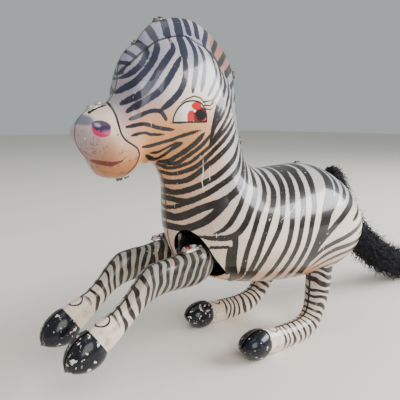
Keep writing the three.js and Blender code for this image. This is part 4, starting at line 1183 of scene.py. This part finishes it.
def tail_curve(at):
    """Centre, radius and direction of the tail at places 0 to 1 along its rows."""
    line = smooth_line([(y, z, x, r) for y, z, x, r in TAIL_ROWS], 24)
    place = np.asarray(at) * (len(line) - 1)
    pick = lambda q: np.stack([np.interp(q, np.arange(len(line)), line[:, k]) for k in range(4)], -1)
    row, ahead = pick(place), pick(np.minimum(place + 1, len(line) - 1))
    behind = pick(np.maximum(place - 1, 0))
    centre = row[:, [2, 0, 1]]
    run = (ahead - behind)[:, [2, 0, 1]]
    return centre, row[:, 3], run / np.linalg.norm(run, axis=1, keepdims=True)


def mohair_tail():
    rng = np.random.default_rng(FUR_SEED)
    verts, faces = [], []
    at = np.linspace(0, 1, 70)
    centre, radius, run = tail_curve(at)
    ring = np.linspace(0, 2 * math.pi, 21)[:-1]
    side = np.cross(run, (1.0, 0, 0))
    side /= np.linalg.norm(side, axis=1, keepdims=True)
    other = np.cross(run, side)
    lumps = 0.82 + 0.06 * np.sin(9 * ring)[None, :] * np.sin(40 * at)[:, None]
    tube = centre[:, None] + (radius[:, None] * lumps)[..., None] * (
        np.cos(ring)[None, :, None] * side[:, None] + np.sin(ring)[None, :, None] * other[:, None]
    )
    verts += tube.reshape(-1, 3).tolist()
    n = len(ring)
    for i in range(len(at) - 1):
        for k in range(n):
            a, b = i * n + k, i * n + (k + 1) % n
            faces.append((a, a + n, b + n, b))
    faces.append(tuple(range(n)))
    faces.append(tuple(range((len(at) - 1) * n, len(at) * n))[::-1])

    place = rng.uniform(0, 0.985, FUR_STRANDS)
    turn = rng.uniform(0, 2 * math.pi, FUR_STRANDS)
    centre, radius, run = tail_curve(place)
    centre_0, _, run_0 = (value[0] for value in tail_curve([0.03]))
    side = np.cross(run, (1.0, 0, 0))
    side /= np.linalg.norm(side, axis=1, keepdims=True)
    other = np.cross(run, side)
    outward = np.cos(turn)[:, None] * side + np.sin(turn)[:, None] * other
    at_base = rng.uniform(0, 1, FUR_STRANDS) < 0.05
    centre[at_base], radius[at_base], run[at_base] = centre_0, 2.6, run_0
    root = centre + outward * (radius * 0.72)[:, None]
    length = np.clip(radius * rng.uniform(0.8, 1.35, FUR_STRANDS), 2.2, 9.5)
    sweep_back = rng.uniform(0.5, 1.2, FUR_STRANDS)[:, None] * run
    sweep_back[at_base] *= rng.uniform(-1, 0.6, at_base.sum())[:, None]
    length[at_base] = 2.2
    curl = rng.normal(0, 0.45, (FUR_STRANDS, 3))
    steps = 5
    thickness = rng.uniform(0.18, 0.34, FUR_STRANDS)
    points = []
    for k in range(steps):
        t = k / (steps - 1)
        heading = outward * (1 - 0.55 * t) * 0.62 + sweep_back * (0.35 + 0.65 * t) + curl * t * 1.1
        heading /= np.linalg.norm(heading, axis=1, keepdims=True)
        points.append(root + heading * (length * t)[:, None])
    for cloud in points:
        cloud[:, 2] = np.maximum(cloud[:, 2], 0.5)
    corner = [2 * math.pi * c / 3 for c in range(3)]
    for strand in range(FUR_STRANDS):
        base = len(verts)
        for k in range(steps):
            t = k / (steps - 1)
            wide = thickness[strand] * (1 - t) ** 0.7
            if k == steps - 1:
                verts.append(points[k][strand].tolist())
                continue
            u, v = side[strand], other[strand]
            for angle in corner:
                spoke = math.cos(angle) * u + math.sin(angle) * v
                verts.append((points[k][strand] + wide * spoke).tolist())
        for k in range(steps - 2):
            for c in range(3):
                a, b = base + 3 * k + c, base + 3 * k + (c + 1) % 3
                faces.append((a, b, b + 3, a + 3))
        tip = base + 3 * (steps - 1)
        for c in range(3):
            faces.append((tip - 3 + c, tip - 3 + (c + 1) % 3, tip))
        faces.append((base + 2, base + 1, base))
    mesh = bpy.data.meshes.new("tail_mohair")
    mesh.from_pydata((np.array(verts) * MM + np.array(ORIGIN)).tolist(), [], faces)
    mesh.shade_smooth()
    shader = Shader("mohair")
    tone = shader.noise(0.7, 3)
    colour = shader.mix(shader.step(tone, 0.35, 0.7), (0.004, 0.004, 0.006), (0.016, 0.015, 0.019))
    mesh.materials.append(shader.finish(base_color=colour, roughness=0.5, specular_ior_level=0.2))
    made = bpy.data.objects.new("tail_mohair", mesh)
    bpy.context.scene.collection.objects.link(made)
    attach(made, "body")
    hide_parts("tail_fur")


mohair_tail()


# ------------------------------------------------------------------ machine parts keep their shape

NODE_MATERIALS = {
    "great_wheel": BRASS,
    "second_wheel": BRASS,
    "third_wheel": BRASS,
    "mainspring": BLUED,
    "winding_key": KEY_TIN,
    "left_motor_plate": TIN,
    "right_motor_plate": TIN,
    "front_bracket": TIN,
    "tail_collar": TIN,
}
for node_name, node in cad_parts.items():
    node.data.materials.clear()
    node.data.materials.append(NODE_MATERIALS.get(node_name, STEEL))

# ------------------------------------------------------------------ floor, light, camera


def area_light(name, place, aim, size, power, colour=(1, 1, 1)):
    lamp = bpy.data.lights.new(name, "AREA")
    lamp.shape = "RECTANGLE"
    lamp.size, lamp.size_y = size
    lamp.energy = power
    lamp.color = colour
    made = bpy.data.objects.new(name, lamp)
    made.location = place
    made.rotation_euler = (Vector(aim) - Vector(place)).to_track_quat("-Z", "Y").to_euler()
    bpy.context.scene.collection.objects.link(made)


def pale_floor():
    mesh = bpy.data.meshes.new("floor")
    reach = 3.0
    corners = [(-reach, -reach, 0), (reach, -reach, 0), (reach, reach, 0), (-reach, reach, 0)]
    mesh.from_pydata(corners, [], [[0, 1, 2, 3]])
    made = bpy.data.objects.new("floor", mesh)
    bpy.context.scene.collection.objects.link(made)
    shader = Shader("floor")
    grain = shader.noise(0.02, 3)
    colour = shader.mix(grain, (0.80, 0.74, 0.66), (0.84, 0.78, 0.70))
    mesh.materials.append(shader.finish(base_color=colour, roughness=0.6))


pale_floor()
centre = ORIGIN + Vector((0, 10, 60)) * MM
area_light("window", centre + Vector((0.50, 0.75, 0.43)) * 0.9, centre, (0.60, 0.34), 15.0, (0.90, 0.95, 1.0))
area_light("soft_side", centre + Vector((0.95, -0.30, 0.60)), centre, (0.7, 0.7), 9.0, (1.0, 0.97, 0.93))
area_light("top", centre + Vector((-0.1, -0.1, 1.1)), centre, (0.8, 0.8), 3.5)
world = bpy.data.worlds.new("studio")
world.use_nodes = True
world.node_tree.nodes["Background"].inputs["Color"].default_value = (0.82, 0.90, 0.90, 1)
world.node_tree.nodes["Background"].inputs["Strength"].default_value = 0.5
bpy.context.scene.world = world

CAMERA_PLACE = Vector((144.53, -125.19, 100.0))
CAMERA_AZIMUTH = math.radians(51.93)
CAMERA_PITCH = math.radians(10.08)
FOCAL_MM = 40.5
lens = bpy.data.cameras.new("camera")
lens.lens = FOCAL_MM
lens.sensor_width = 36
lens.clip_start = 0.005
camera = bpy.data.objects.new("camera", lens)
bpy.context.scene.collection.objects.link(camera)
right = Vector((math.cos(CAMERA_AZIMUTH), math.sin(CAMERA_AZIMUTH), 0))
back = Vector(
    (
        math.sin(CAMERA_AZIMUTH) * math.cos(CAMERA_PITCH),
        -math.cos(CAMERA_AZIMUTH) * math.cos(CAMERA_PITCH),
        math.sin(CAMERA_PITCH),
    )
)
up = back.cross(right)
camera.matrix_world = Matrix.Translation(CAMERA_PLACE * MM + ORIGIN) @ Matrix(
    (right, up, back)
).transposed().to_4x4()
bpy.context.scene.camera = camera
